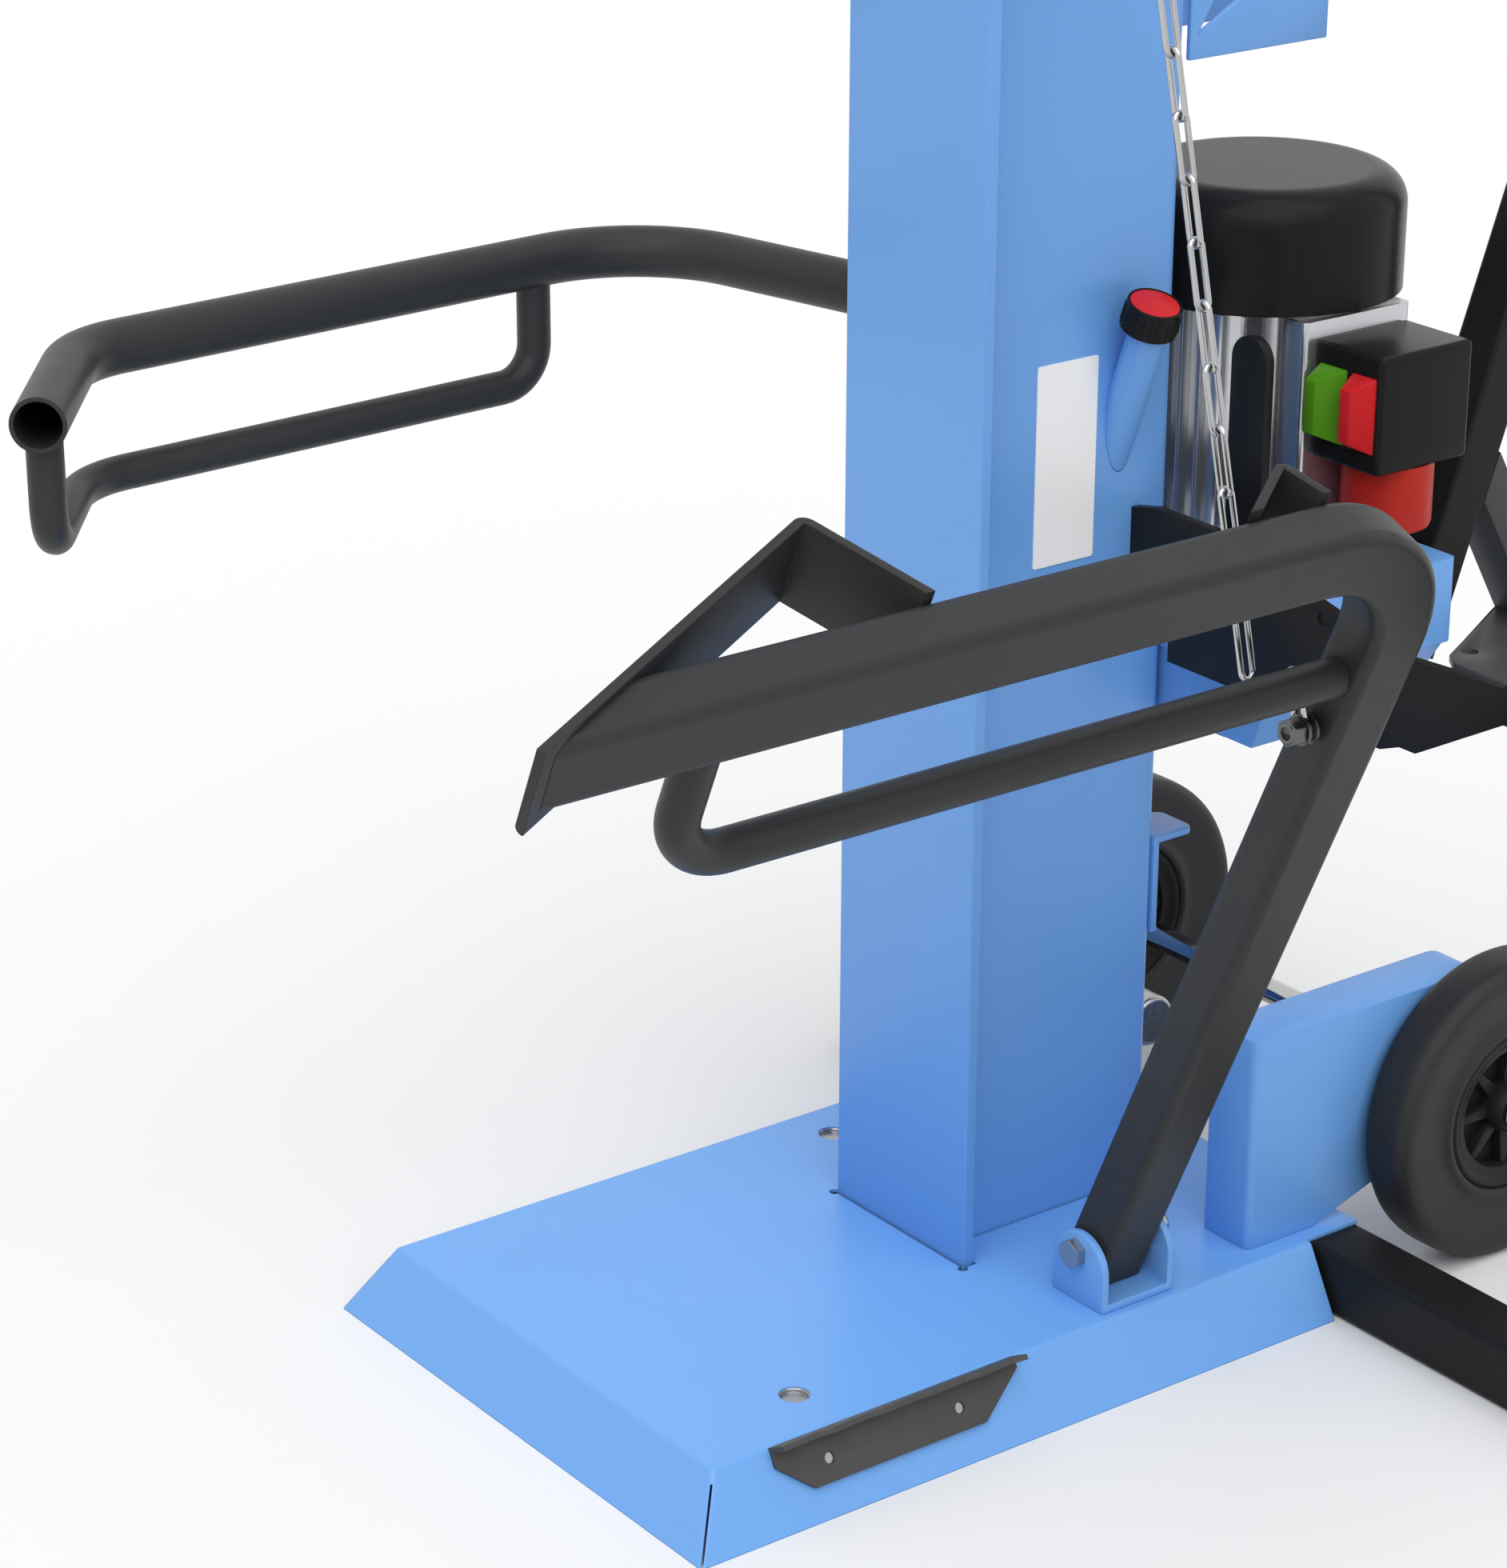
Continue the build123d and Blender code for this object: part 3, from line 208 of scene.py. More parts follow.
looks = {
    "bluePaint": {"colour": (0.152, 0.372, 0.785), "change": 0.025, "patch": 5, "roughness": 0.36,
                  "varies": 0.05, "grain": "noise", "grainScale": 700, "grainStrength": 0.2,
                  "grainDepth": 0.0001, "sheen": 0.38, "edge": 0.0014},
    "blackPaint": {"colour": (0.028, 0.028, 0.0285), "change": 0.10, "patch": 7, "roughness": 0.42,
                   "varies": 0.06, "grain": "noise", "grainScale": 800, "grainStrength": 0.25,
                   "grainDepth": 0.0001, "sheen": 0.24, "edge": 0.0012},
    # a darker copy of the black paint: painted shade for black parts that lie on the shadow side
    "deepBlackPaint": {"colour": (0.013, 0.013, 0.0135), "change": 0.10, "patch": 7, "roughness": 0.38,
                       "varies": 0.05, "grain": "noise", "grainScale": 800, "grainStrength": 0.2,
                       "grainDepth": 0.0001, "ior": 1.22, "edge": 0.001},
    "greyPaint": {"colour": (0.062, 0.062, 0.061), "change": 0.08, "patch": 9, "roughness": 0.45,
                  "varies": 0.06, "grain": "noise", "grainScale": 800, "grainStrength": 0.25,
                  "grainDepth": 0.0001, "sheen": 0.24, "edge": 0.0008},
    "blackPlastic": {"colour": (0.011, 0.011, 0.011), "change": 0.08, "patch": 9, "roughness": 0.27,
                     "varies": 0.03, "grain": "cells", "grainScale": 1400, "grainStrength": 0.04,
                     "grainDepth": 0.0001, "ior": 1.2, "edge": 0.001},
    "wheelPlastic": {"colour": (0.014, 0.014, 0.014), "change": 0.12, "patch": 11, "roughness": 0.42,
                     "varies": 0.06, "grain": "cells", "grainScale": 1100, "grainStrength": 0.1,
                     "grainDepth": 0.0001, "ior": 1.25},
    "tyreRubber": {"colour": (0.019, 0.019, 0.020), "change": 0.14, "patch": 8, "roughness": 0.5,
                   "varies": 0.08, "grain": "noise", "grainScale": 500, "grainStrength": 0.35,
                   "grainDepth": 0.0002, "sheen": 0.3},
    "zincSteel": {"colour": (0.40, 0.40, 0.41), "change": 0.12, "patch": 60, "roughness": 0.3,
                  "varies": 0.1, "grain": "noise", "grainScale": 900, "grainStrength": 0.25,
                  "grainDepth": 0.0001, "metal": 1, "edge": 0.0006},
    "darkZinc": {"colour": (0.15, 0.15, 0.152), "change": 0.15, "patch": 60, "roughness": 0.34,
                 "varies": 0.1, "grain": "noise", "grainScale": 900, "grainStrength": 0.25,
                 "grainDepth": 0.0001, "metal": 1, "edge": 0.0005},
    "brightChrome": {"colour": (0.50, 0.50, 0.505), "change": 0.05, "patch": 30, "roughness": 0.11,
                     "varies": 0.02, "grain": "noise", "grainScale": 300, "grainStrength": 0.02,
                     "grainDepth": 0.0001, "metal": 1, "stretch": (1, 1, 8)},
    "castAluminium": {"colour": (0.58, 0.59, 0.61), "change": 0.05, "patch": 20, "roughness": 0.2,
                      "varies": 0.05, "grain": "noise", "grainScale": 450, "grainStrength": 0.03,
                      "grainDepth": 0.0001, "metal": 0.85, "edge": 0.0008},
    "castIron": {"colour": (0.07, 0.07, 0.073), "change": 0.2, "patch": 25, "roughness": 0.6,
                 "varies": 0.1, "grain": "cells", "grainScale": 500, "grainStrength": 0.5,
                 "grainDepth": 0.0003, "metal": 0.4, "edge": 0.001},
    "greenPlastic": {"colour": (0.075, 0.26, 0.006), "change": 0.05, "patch": 30, "roughness": 0.36,
                     "varies": 0.05, "grain": "cells", "grainScale": 1600, "grainStrength": 0.12,
                     "grainDepth": 0.0001, "sheen": 0.15, "edge": 0.0008},
    "redPlastic": {"colour": (0.60, 0.016, 0.019), "change": 0.05, "patch": 30, "roughness": 0.36,
                   "varies": 0.05, "grain": "cells", "grainScale": 1600, "grainStrength": 0.12,
                   "grainDepth": 0.0001, "sheen": 0.15, "edge": 0.0008},
    "brickRedPlastic": {"colour": (0.47, 0.022, 0.014), "change": 0.05, "patch": 20, "roughness": 0.42,
                        "varies": 0.05, "grain": "cells", "grainScale": 1500, "grainStrength": 0.12,
                        "grainDepth": 0.0001, "sheen": 0.15},
    "bronze": {"colour": (0.5, 0.33, 0.14), "change": 0.12, "patch": 40, "roughness": 0.35,
               "varies": 0.1, "grain": "noise", "grainScale": 600, "grainStrength": 0.3,
               "grainDepth": 0.0001, "metal": 1},
    "whiteFoil": {"colour": (0.93, 0.93, 0.93), "change": 0.02, "patch": 12, "roughness": 0.3,
                  "varies": 0.04, "grain": "noise", "grainScale": 300, "grainStrength": 0.1,
                  "grainDepth": 0.0001},
}
finish = {name: makeFinish(name, look) for name, look in looks.items()}
finishForSlot = {"blue_paint": "bluePaint", "black_paint": "blackPaint", "black_plastic": "blackPlastic",
                 "rubber": "tyreRubber", "steel": "zincSteel", "bright_chrome": "brightChrome",
                 "cast_aluminium": "castAluminium", "cast_iron": "castIron",
                 "green_plastic": "greenPlastic", "red_plastic": "redPlastic", "bronze": "bronze"}
finishForNode = {"toothed_plate": "greyPaint", "rear_support": "greyPaint",
                 # the link bar, arm bracket, rear handle frame and stabiliser take the darker black copy
                 # as painted shade
                 "control_link_bar": "deepBlackPaint", "arm_bracket_right": "deepBlackPaint",
                 "rear_handle_frame": "deepBlackPaint", "stabiliser_tube": "deepBlackPaint",
                 "power_inlet": "brickRedPlastic",
                 "rim_left": "wheelPlastic", "rim_right": "wheelPlastic"}


def finishNameOf(node):
    return finishForNode.get(node, finishForSlot[slotOf[node]])


for name, node in nodes.items():
    node.data.materials.clear()
    node.data.materials.append(finish[finishNameOf(name)])
print("finishes made:", len(finish))


# modelling by hand
def nothingSelected():
    if bpy.context.object and bpy.context.object.mode != "OBJECT":
        bpy.ops.object.mode_set(mode="OBJECT")
    bpy.ops.object.select_all(action="DESELECT")


def makeActive(piece):
    nothingSelected()
    bpy.context.view_layer.objects.active = piece
    piece.select_set(True)


def openForEditing(piece, kind="FACE"):
    makeActive(piece)
    bpy.ops.object.mode_set(mode="EDIT")
    bpy.ops.mesh.select_mode(type=kind)
    bpy.ops.mesh.select_all(action="DESELECT")


def choose(piece, kind, test):
    cage = bmesh.from_edit_mesh(piece.data)
    for item in getattr(cage, kind):
        item.select_set(bool(test(item)))
    cage.select_flush_mode()
    bmesh.update_edit_mesh(piece.data)


def seat(piece):  # the place goes into the mesh
    makeActive(piece)
    bpy.ops.object.transform_apply(location=True, rotation=True, scale=True)


def applyModifiers(piece):
    makeActive(piece)
    for modifier in list(piece.modifiers):
        bpy.ops.object.modifier_apply(modifier=modifier.name)


def softened(piece, width, segments=2, angle=30):
    bevel = piece.modifiers.new("edges", "BEVEL")
    bevel.width = width
    bevel.segments = segments
    bevel.limit_method = "ANGLE"
    bevel.angle_limit = math.radians(angle)
    applyModifiers(piece)


def facesOutward(piece):
    openForEditing(piece)
    bpy.ops.mesh.select_all(action="SELECT")
    bpy.ops.mesh.remove_doubles(threshold=0.000005)
    bpy.ops.mesh.normals_make_consistent(inside=False)
    bpy.ops.object.mode_set(mode="OBJECT")


def addBox(low, high):
    nothingSelected()
    low, high = Vector(low), Vector(high)
    bpy.ops.mesh.primitive_cube_add(size=1, location=(low + high) / 2, scale=high - low)
    piece = bpy.context.object
    seat(piece)
    return piece


def addRod(start, end, radius, sides=24):
    nothingSelected()
    start, end = Vector(start), Vector(end)
    run = end - start
    bpy.ops.mesh.primitive_cylinder_add(vertices=sides, radius=radius, depth=run.length,
                                        location=(start + end) / 2,
                                        rotation=run.to_track_quat("Z", "Y").to_euler())
    piece = bpy.context.object
    seat(piece)
    return piece


def addTurned(base, axis, profile, steps=64):
    nothingSelected()
    base, axis = Vector(base), Vector(axis).normalized()
    outward = axis.orthogonal().normalized()
    points = [base + outward * radius + axis * along for radius, along in profile]
    bpy.ops.mesh.primitive_plane_add(size=0.001, location=points[0])
    piece = bpy.context.object
    bpy.ops.object.mode_set(mode="EDIT")
    bpy.ops.mesh.select_mode(type="VERT")
    bpy.ops.mesh.select_all(action="SELECT")
    bpy.ops.mesh.merge(type="CENTER")
    for here, there in zip(points, points[1:]):
        bpy.ops.mesh.extrude_region_move(TRANSFORM_OT_translate={"value": there - here})
    bpy.ops.mesh.select_all(action="SELECT")
    bpy.ops.mesh.spin(steps=steps, angle=2 * math.pi, center=base, axis=axis)
    bpy.ops.object.mode_set(mode="OBJECT")
    seat(piece)
    facesOutward(piece)
    return piece


def movedCopy(piece, matrix):
    copy = piece.copy()
    copy.data = piece.data.copy()
    bpy.context.scene.collection.objects.link(copy)
    copy.data.transform(matrix)
    return copy


def aroundAxis(piece, count, base, axis):
    base = Vector(base)
    copies = [piece]
    for i in range(1, count):
        spin = Matrix.Rotation(2 * math.pi * i / count, 4, axis)
        copies.append(movedCopy(piece, Matrix.Translation(base) @ spin @ Matrix.Translation(-base)))
    return copies


def joined(pieces):
    nothingSelected()
    for piece in pieces:
        piece.select_set(True)
    bpy.context.view_layer.objects.active = pieces[0]
    bpy.ops.object.join()
    return pieces[0]


def finished(piece, name, body, finishName, smooth=35, standsFor=()):
    piece.name = name
    piece.data.name = name
    makeActive(piece)
    bpy.ops.object.shade_smooth_by_angle(angle=math.radians(smooth))
    piece.data.materials.clear()
    piece.data.materials.append(finish[finishName])
    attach(piece, body)
    if standsFor:
        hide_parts(*standsFor)
    return piece


# plates and brackets whose edges are broken, from the CAD shapes
brokenEdges = {
    "column_flange": 1.2, "toothed_plate": 0.6, "lifter_clevis": 1.0, "arm_bracket_right": 0.7,
    "motor_console": 1.5, "terminal_block": 0.8, "top_bracket_plates": 0.6,
    "rear_support": 0.8, "lifter_front_tooth": 0.7, "lifter_rear_tooth": 0.7, "bridge_plate": 1.2,
    "carriage_guide": 1.0, "wedge_blade": 0.6, "rear_lug": 0.8, "control_link_bar": 0.8,
    "sole_plate": 0.8, "stabiliser_end_caps": 2.5,
    "start_button": 0.8, "stop_button": 0.8, "left_lever_mount": 0.8, "left_yoke": 0.6,
    "right_yoke": 0.6, "column_top_plate": 0.8,
}


def camelName(node):
    first, *rest = node.split("_")
    return first + "".join(word.capitalize() for word in rest)


for name, width in brokenEdges.items():
    plate = nodes[name].copy()
    plate.data = nodes[name].data.copy()
    plate.parent = None
    for key in list(plate.keys()):
        del plate[key]
    bpy.context.scene.collection.objects.link(plate)
    openForEditing(plate)
    bpy.ops.mesh.select_all(action="SELECT")
    bpy.ops.mesh.remove_doubles(threshold=0.00001)
    bpy.ops.mesh.dissolve_limited(angle_limit=math.radians(1))
    bpy.ops.object.mode_set(mode="OBJECT")
    softened(plate, width * mm)
    finished(plate, camelName(name), bodyOf[name], finishNameOf(name), 30, (name,))
print("plates with broken edges:", len(brokenEdges))


# wheel brackets: folded sheet, open towards the middle, below and at the rear
bracket = {"wide": 0.047, "wall": 0.004, "rearRound": 0.028, "frontRound": 0.006, "footY": 0.147,
           "rearLow": 0.110, "cutY": 0.276, "cutNormal": (0, 0.80, 0.60), "edge": 0.0009}
bracketLow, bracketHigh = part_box("wheel_brackets")


def addBracket(side, outer):
    left, right = sorted((outer, outer - side * bracket["wide"]))
    fold = addBox((left, bracketLow.y, bracketLow.z), (right, bracketHigh.y, bracketHigh.z))
    openForEditing(fold)
    bpy.ops.mesh.select_all(action="SELECT")
    footNormal = Vector((0, bracket["rearLow"] - bracketLow.z, bracket["footY"] - bracketHigh.y))
    bpy.ops.mesh.bisect(plane_co=(0, bracket["footY"], bracketLow.z), plane_no=footNormal,
                        clear_outer=True, use_fill=True)
    bpy.ops.mesh.select_mode(type="EDGE")
    choose(fold, "edges", lambda e: all(v.co.y > bracketHigh.y - near and v.co.z > bracketHigh.z - near
                                        for v in e.verts))
    bpy.ops.mesh.bevel(offset=bracket["rearRound"], segments=10, affect="EDGES")
    choose(fold, "edges", lambda e: all(v.co.y < bracketLow.y + near and abs(v.co.x - outer) < near
                                        for v in e.verts))
    bpy.ops.mesh.bevel(offset=bracket["frontRound"], segments=5, affect="EDGES")
    bpy.ops.mesh.select_mode(type="FACE")
    choose(fold, "faces", lambda f: f.normal.x * side < -0.9 or f.normal.z < -0.2)
    bpy.ops.mesh.delete(type="FACE")
    choose(fold, "faces", lambda f: f.normal.y > 0.99)
    bpy.ops.mesh.delete(type="FACE")
    if side < 0:  # the left bracket's rear top corner is cut off
        bpy.ops.mesh.select_all(action="SELECT")
        bpy.ops.mesh.bisect(plane_co=(0, bracket["cutY"], bracketHigh.z),
                            plane_no=bracket["cutNormal"], clear_outer=True)
    bpy.ops.object.mode_set(mode="OBJECT")
    shell = fold.modifiers.new("sheet", "SOLIDIFY")
    shell.thickness = bracket["wall"]
    shell.offset = -1
    applyModifiers(fold)
    softened(fold, bracket["edge"], 2, 40)
    return fold


bracketPair = [addBracket(1, bracketHigh.x), addBracket(-1, bracketLow.x)]
finished(joined(bracketPair), "wheelBrackets", bodyOf["wheel_brackets"], "bluePaint", 35,
         ("wheel_brackets",))


# wheels
wheel = {"steps": 96, "hubSteps": 48, "tyreEdge": 0.064, "bowlRadius": 0.0465, "bore": 0.0101,
         "hubRadius": 0.0185, "hubFace": 0.0165, "hubWaist": 0.0205, "webFoot": 0.0200,
         "webLow": 0.0205, "webHigh": 0.0235, "webSink": 0.0006, "spokes": 8, "spokeWide": 0.0100,
         "spokeLow": 0.012, "spokeHigh": 0.032, "spokeFoot": 0.0195, "spokeSink": 0.0008,
         "spokeTaper": (1.15, 0.62, 1), "spokeEdge": 0.0009}
tyreLow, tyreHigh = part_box("tyre_right")
wheelWide = tyreHigh.x - tyreLow.x
wheelRadius = (tyreHigh.z - tyreLow.z) / 2
wheelBase = Vector((tyreLow.x, (tyreLow.y + tyreHigh.y) / 2, (tyreLow.z + tyreHigh.z) / 2))
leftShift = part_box("tyre_left")[0].x - tyreLow.x
across = Vector((1, 0, 0))


def bothSides(half):  # the other side is its mirror, and a point at mid width isn't doubled
    other = [(radius, wheelWide - depth) for radius, depth in reversed(half) if depth < wheelWide / 2]
    return half + other + half[:1]


# half profiles: radius, and depth from the wheel's side
halfTyre = [(wheel["tyreEdge"], 0.012), (wheel["tyreEdge"], 0.0048), (0.0655, 0.0024), (0.0680, 0.0012),
            (0.0705, 0.0016), (0.0725, 0.0034), (0.0750, 0.0042), (0.0800, 0.0040), (0.092, 0.0020),
            (0.104, 0.0003), (0.108, 0), (0.1125, 0.0004), (0.1158, 0.0018),
            (0.1165, 0.0030), (0.1180, 0.0040), (0.1198, 0.0068), (0.1207, 0.0105),
            (wheelRadius, 0.015), (wheelRadius, wheelWide / 2)]
halfRim = [(0.0638, 0.0045), (0.0615, 0.0030), (0.0585, 0.0034), (0.0560, 0.0060), (0.0530, 0.0074),
           (0.0485, 0.0082), (wheel["bowlRadius"], 0.0120), (wheel["bowlRadius"], wheelWide / 2)]
halfHub = [(wheel["bore"], 0.0004), (wheel["hubFace"], 0.0004), (wheel["hubRadius"], 0.0030),
           (wheel["hubWaist"], 0.0140)]
webRim = wheel["bowlRadius"] + wheel["webSink"]
webProfile = [(wheel["webFoot"], wheel["webLow"]), (webRim, wheel["webLow"]), (webRim, wheel["webHigh"]),
              (wheel["webFoot"], wheel["webHigh"]), (wheel["webFoot"], wheel["webLow"])]
tyre = addTurned(wheelBase, across, bothSides(halfTyre), wheel["steps"])
rimRing = addTurned(wheelBase, across, bothSides(halfRim), wheel["steps"])
hub = addTurned(wheelBase, across, bothSides(halfHub), wheel["hubSteps"])
web = addTurned(wheelBase, across, webProfile, wheel["hubSteps"])
halfSpoke, spokeTop = wheel["spokeWide"] / 2, wheel["bowlRadius"] + wheel["spokeSink"]
spoke = addBox(wheelBase + Vector((wheel["spokeLow"], -halfSpoke, wheel["spokeFoot"])),
               wheelBase + Vector((wheel["spokeHigh"], halfSpoke, spokeTop)))
openForEditing(spoke)
choose(spoke, "faces", lambda f: f.normal.z > 0.9)
bpy.ops.transform.resize(value=wheel["spokeTaper"])
bpy.ops.object.mode_set(mode="OBJECT")
softened(spoke, wheel["spokeEdge"])
rim = joined([rimRing, hub, web] + aroundAxis(spoke, wheel["spokes"], wheelBase, across))
toLeft = Matrix.Translation((leftShift, 0, 0))
for side, body, shift in (("Left", "wheel_l", toLeft), ("Right", "wheel_r", Matrix.Identity(4))):
    word = side.lower()
    finished(movedCopy(tyre, shift), "tyre" + side, body, "tyreRubber", 40, ("tyre_" + word,))
    finished(movedCopy(rim, shift), "rim" + side, body, "wheelPlastic", 40,
             ("rim_" + word,))
bpy.data.objects.remove(tyre)
bpy.data.objects.remove(rim)
print("wheels made")


# oil filler cap with a ribbed skirt, a red disc and a dipstick
cap = {"radius": 0.0205, "topRadius": 0.0196, "height": 0.0215, "inside": 0.0150, "roof": 0.0120,
       "plug": 0.0109, "plugLong": 0.0130, "stick": 0.002, "stickTip": 0.0005, "steps": 66,
       "ribs": 22, "ribWide": 0.0011, "ribLow": 0.0034, "ribHigh": 0.0175, "ribSink": 0.0007,
       "ribLean": 0.0005, "ribSides": 8, "discRadius": 0.0180, "discSeat": 0.0195, "discSteps": 48}
capJoint = next(j for j in frame["joints"] if j["name"] == "cap_lift")
capAxis = Vector(capJoint["axis"]).normalized()
capPoints = [Vector(v.co) for v in nodes["filler_cap"].data.vertices]
capLevels = [p.dot(capAxis) for p in capPoints]
capTop = max(capLevels)
stickEnd = [p for p, level in zip(capPoints, capLevels) if level < min(capLevels) + cap["stickTip"]]
capCentre = Vector([(min(p[i] for p in stickEnd) + max(p[i] for p in stickEnd)) / 2 for i in range(3)])
capCentre += capAxis * (capTop - capCentre.dot(capAxis))
capFoot = capCentre - capAxis * cap["height"]
stickLength = capTop - min(capLevels) - cap["height"]
# radius, and height above the skirt's foot, from the top down to the dipstick's end
skirtProfile = [(0, cap["discSeat"]), (cap["discRadius"], cap["discSeat"]),
                (cap["discRadius"] + 0.0003, 0.0212), (cap["topRadius"] - 0.0008, cap["height"]),
                (cap["topRadius"], 0.0207), (cap["radius"] - 0.0004, 0.0035), (cap["radius"], 0.0030),
                (cap["radius"], 0.0006), (cap["radius"] - 0.0006, 0), (cap["inside"], 0),
                (cap["inside"], cap["roof"]), (cap["plug"], cap["roof"]),
                (cap["plug"], -cap["plugLong"]), (cap["stick"], -cap["plugLong"] - 0.001),
                (cap["stick"], -stickLength + 0.001), (0, -stickLength)]
skirt = addTurned(capFoot, capAxis, skirtProfile, cap["steps"])
capSide = capAxis.orthogonal().normalized()
ribFoot = capFoot + capSide * (cap["radius"] - cap["ribSink"])
ribTop = ribFoot + capAxis * cap["ribHigh"] - capSide * cap["ribLean"]
rib = addRod(ribFoot + capAxis * cap["ribLow"], ribTop, cap["ribWide"], cap["ribSides"])
finished(joined([skirt] + aroundAxis(rib, cap["ribs"], capCentre, capAxis)), "fillerCap",
         bodyOf["filler_cap"], "blackPlastic", 35, ("filler_cap",))
discEdge = cap["discRadius"] - 0.0004
discProfile = [(0, 0.0196), (discEdge, 0.0196), (discEdge, 0.0208), (cap["discRadius"] - 0.0012, 0.0211),
               (0, 0.0211)]
finished(addTurned(capFoot, capAxis, discProfile, cap["discSteps"]), "fillerCapDisc",
         bodyOf["filler_cap"], "redPlastic")


# switch box with two button wells
switch = {"corner": 0.0036, "wellDepth": 0.0125, "wellGap": 0.0005, "edge": 0.0005}
boxLow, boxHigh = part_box("switch_box")
buttonBoxes = [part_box("start_button"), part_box("stop_button")]
housing = addBox(boxLow, boxHigh)
openForEditing(housing, "EDGE")
bpy.ops.mesh.select_all(action="SELECT")
bpy.ops.mesh.bevel(offset=switch["corner"], segments=4, affect="EDGES")
cuts = [(Vector((x, 0, 0)), Vector((1, 0, 0))) for low, high in buttonBoxes
        for x in (low.x - switch["wellGap"], high.x + switch["wellGap"])]
cuts += [(Vector((0, 0, z)), Vector((0, 0, 1)))
         for z in (buttonBoxes[0][0].z - switch["wellGap"], buttonBoxes[0][1].z + switch["wellGap"])]
for place, normal in cuts:
    bpy.ops.mesh.select_all(action="SELECT")
    bpy.ops.mesh.bisect(plane_co=place, plane_no=normal)
bpy.ops.mesh.select_mode(type="FACE")


def inWell(face):
    middle = face.calc_center_median()
    onFront = abs(middle.y - boxLow.y) < 2 * near
    inside = any(low.x < middle.x < high.x and low.z < middle.z < high.z for low, high in buttonBoxes)
    return onFront and inside


choose(housing, "faces", inWell)
bpy.ops.mesh.extrude_region_move(TRANSFORM_OT_translate={"value": (0, switch["wellDepth"], 0)})
bpy.ops.object.mode_set(mode="OBJECT")
softened(housing, switch["edge"], 2, 50)
finished(housing, "switchBox", bodyOf["switch_box"], "blackPlastic", 35, ("switch_box",))


# power inlet: a sleeve that is open below, with pins in a ring
inlet = {"wall": 0.0045, "recess": 0.034, "steps": 72, "pinRadius": 0.0025, "pinCircle": 0.0145,
         "pins": 5, "pinLength": 0.024, "pinSides": 16, "pinEdge": 0.0008}
inletLow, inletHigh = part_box("power_inlet")
inletRadius = (inletHigh.x - inletLow.x) / 2
inletTall = inletHigh.z - inletLow.z
inletBase = Vector(((inletLow.x + inletHigh.x) / 2, (inletLow.y + inletHigh.y) / 2, inletLow.z))
inside = inletRadius - inlet["wall"]
sleeve = addTurned(inletBase, (0, 0, 1), [
    (0, inletTall), (inletRadius, inletTall), (inletRadius, 0.005), (inletRadius - 0.0012, 0.0016),
    (inletRadius - 0.004, 0), (inside + 0.0006, 0), (inside, 0.001), (inside, inlet["recess"]),
    (0, inlet["recess"])], inlet["steps"])
finished(sleeve, "powerInlet", bodyOf["power_inlet"], "brickRedPlastic", 35,
         ("power_inlet",))
pinFoot = inletBase + Vector((inlet["pinCircle"], 0, inlet["recess"] - inlet["pinLength"]))
pinTop = pinFoot + Vector((0, 0, inlet["pinLength"]))
pin = addRod(pinFoot, pinTop, inlet["pinRadius"], inlet["pinSides"])
softened(pin, inlet["pinEdge"])
finished(joined(aroundAxis(pin, inlet["pins"], inletBase, (0, 0, 1))), "inletPins",
         bodyOf["power_inlet"], "zincSteel")


# chain bolt on the lifter post: hexagon head with a hollow end, two washers, shank
chainBolt = {"shank": 0.0052, "shankStart": 0.002, "shankShort": 0.0005, "shankSides": 32,
             "hexFlats": 0.0175, "hexThick": 0.011, "hexEdge": 0.0008, "bore": 0.0046,
             "boreDepth": 0.0015, "boreLip": 0.0026, "washer": 0.0105, "washerThick": 0.0022,
             "washerSteps": 40, "frontWasher": 0.0004, "rearWasher": 0.0185}


def addHexHead(place, axis):  # the bore is a raised lip round a sunk disc
    thick, bore, depth = chainBolt["hexThick"], chainBolt["bore"], chainBolt["boreDepth"]
    lipEdge = bore + chainBolt["boreLip"]
    head = addRod(place, place + axis * (thick - 0.001), chainBolt["hexFlats"] / math.sqrt(3), 6)
    softened(head, chainBolt["hexEdge"])
    lip = addTurned(place + axis * (thick - depth), axis,
                    [(0, 0.0005), (bore, 0.0005), (bore, depth), (bore + 0.0019, depth),
                     (lipEdge, depth - 0.0006), (lipEdge, 0), (0, 0), (0, 0.0005)], 32)
    return joined([head, lip])


boltLow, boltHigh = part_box("chain_bolt")
boltLine = Vector(((boltLow.x + boltHigh.x) / 2, boltLow.y, (boltLow.z + boltHigh.z) / 2))
along = Vector((0, 1, 0))
shankEnd = boltHigh.y - boltLow.y - chainBolt["shankShort"]
boltParts = [addRod(boltLine + along * chainBolt["shankStart"], boltLine + along * shankEnd,
                    chainBolt["shank"], chainBolt["shankSides"]),
             addHexHead(boltLine + along * (chainBolt["hexThick"] + 0.0002), -along)]
ringProfile = [(chainBolt["shank"], 0), (chainBolt["washer"], 0),
               (chainBolt["washer"], chainBolt["washerThick"]),
               (chainBolt["shank"], chainBolt["washerThick"]), (chainBolt["shank"], 0)]
for depth in (chainBolt["hexThick"] + chainBolt["frontWasher"], chainBolt["rearWasher"]):
    boltParts.append(addTurned(boltLine + along * depth, along, ringProfile, chainBolt["washerSteps"]))
finished(joined(boltParts), "chainBolt", bodyOf["chain_bolt"], "darkZinc", 35, ("chain_bolt",))


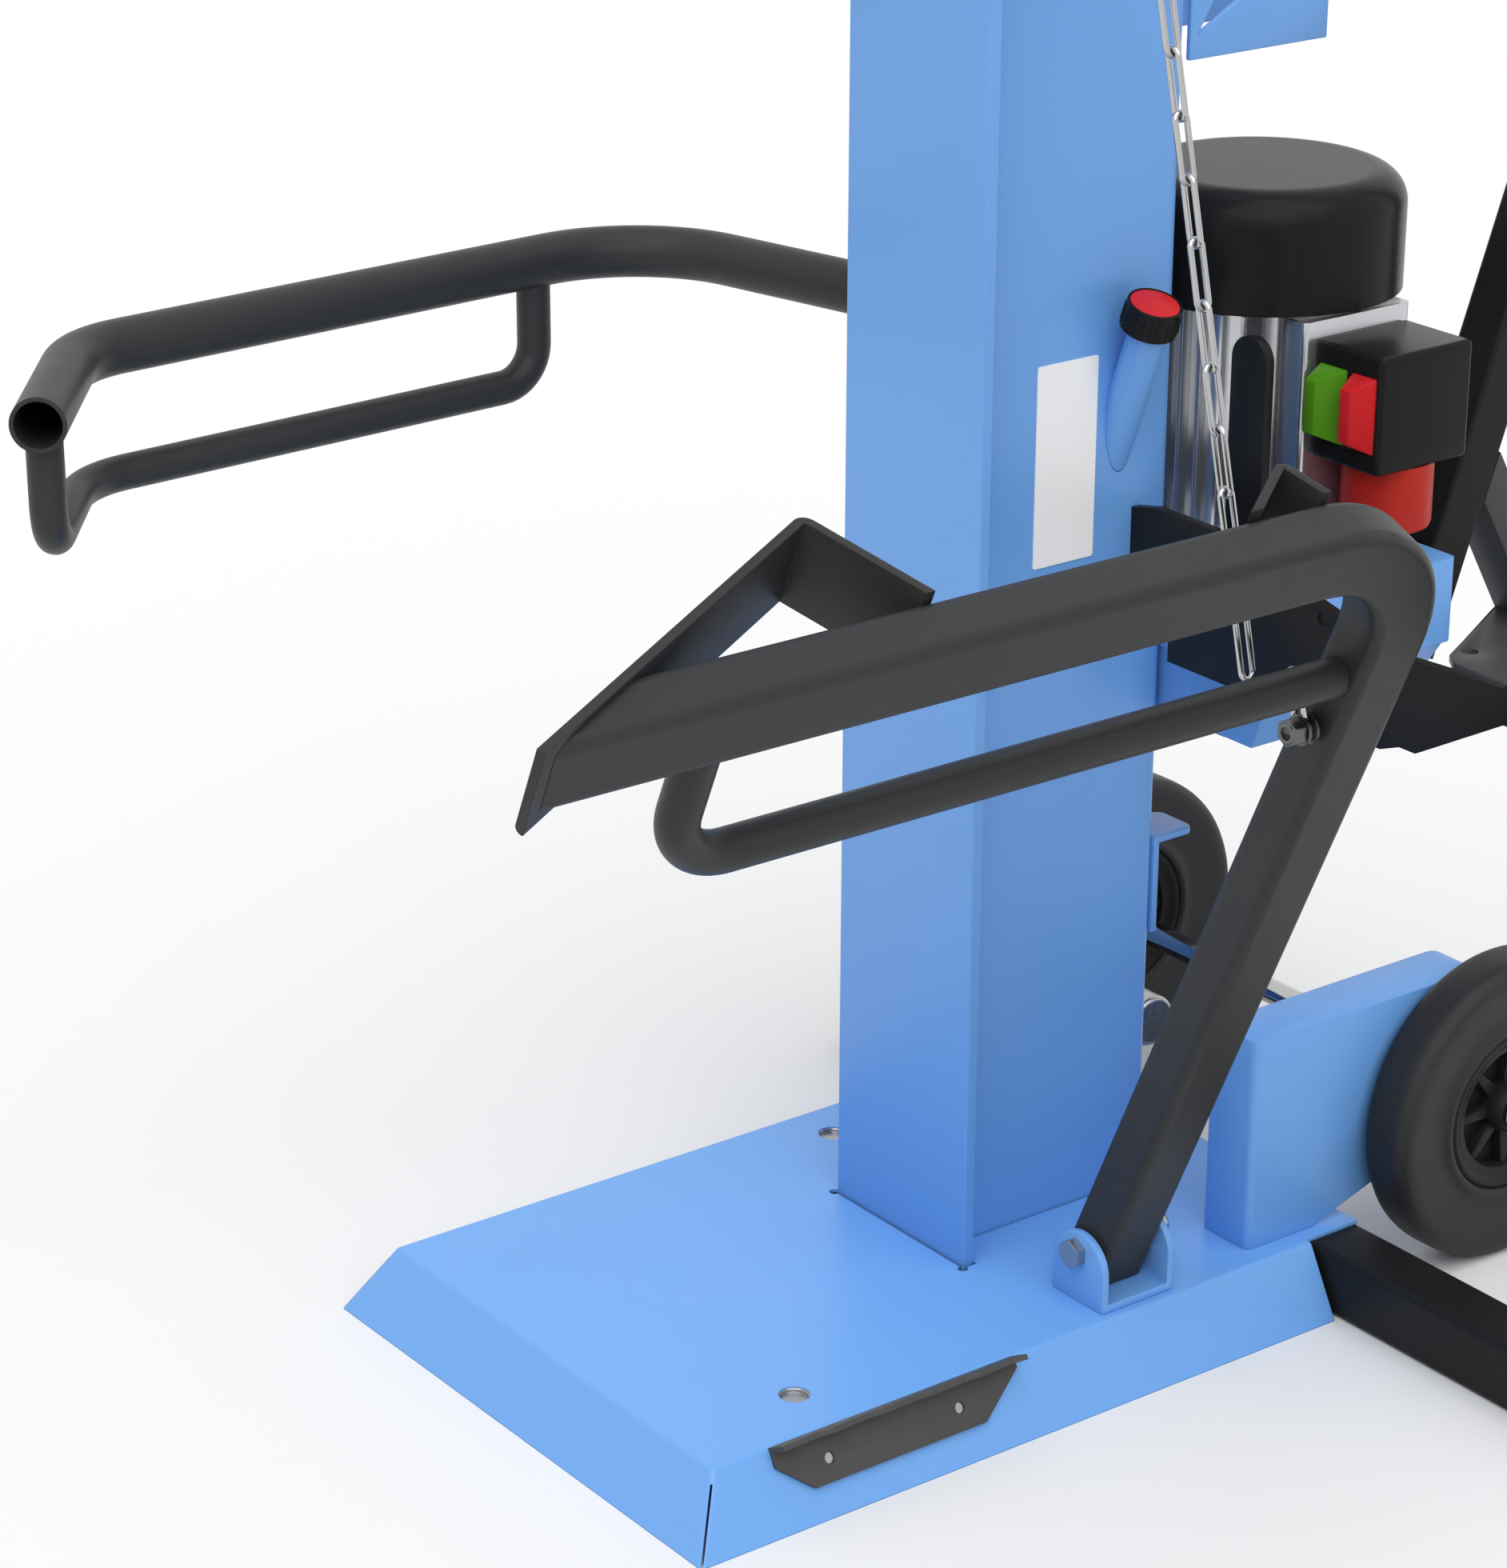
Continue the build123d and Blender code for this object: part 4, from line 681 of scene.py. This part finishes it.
# anchor cups in the tray: a flanged ring round a recessed disc
cup = {"edge": 0.0006, "recess": 0.0026, "ringWide": 0.70, "mouthWide": 0.66, "floorWide": 0.64,
       "steps": 40}
anchorPoints = [Vector(v.co) for v in nodes["anchor_inserts"].data.vertices]
cups = []
for side in (-1, 1):
    own = [p for p in anchorPoints if p.x * side > 0]
    lowCorner = Vector([min(p[i] for p in own) for i in range(3)])
    highCorner = Vector([max(p[i] for p in own) for i in range(3)])
    centre = (lowCorner + highCorner) / 2
    radius = (highCorner.x - lowCorner.x) / 2
    top = highCorner.z
    cups.append(addTurned((centre.x, centre.y, 0), (0, 0, 1), [
        (0, lowCorner.z), (radius, lowCorner.z), (radius, top - cup["edge"]),
        (radius - cup["edge"], top), (radius * cup["ringWide"], top),
        (radius * cup["mouthWide"], top - cup["edge"]),
        (radius * cup["floorWide"], top - cup["recess"]), (0, top - cup["recess"])], cup["steps"]))
finished(joined(cups), "anchorCups", bodyOf["anchor_inserts"], "zincSteel", 35,
         ("anchor_inserts",))


# blank label strip on the column's side
label = {"front": -0.025, "back": 0.030, "low": 0.565, "high": 0.712, "thick": 0.0008, "corner": 0.002}
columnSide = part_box("column_box")[1].x
strip = addBox((columnSide, label["front"], label["low"]),
               (columnSide + label["thick"], label["back"], label["high"]))
openForEditing(strip, "EDGE")
choose(strip, "edges", lambda e: abs((e.verts[0].co - e.verts[1].co).normalized().x) > 0.9)
bpy.ops.mesh.bevel(offset=label["corner"], segments=4, affect="EDGES")
bpy.ops.object.mode_set(mode="OBJECT")
finished(strip, "labelStrip", "machine", "whiteFoil", 30)
print("cap, switch box, inlet, chain bolt, anchor cups and label made")


# floor
nothingSelected()
bpy.ops.mesh.primitive_plane_add(size=studio["floorSize"], location=(0, 0, 0))
floor = bpy.context.object
floor.name = "floor"
floorPaint = bpy.data.materials.new("paleFloor")
floorPaint.use_nodes = True
floorShader = floorPaint.node_tree.nodes["Principled BSDF"]
floorShader.inputs["Base Color"].default_value = studio["floorColour"]
floorShader.inputs["Roughness"].default_value = studio["floorRoughness"]
floorShader.inputs["Specular IOR Level"].default_value = studio["floorSheen"]
floor.data.materials.append(floorPaint)
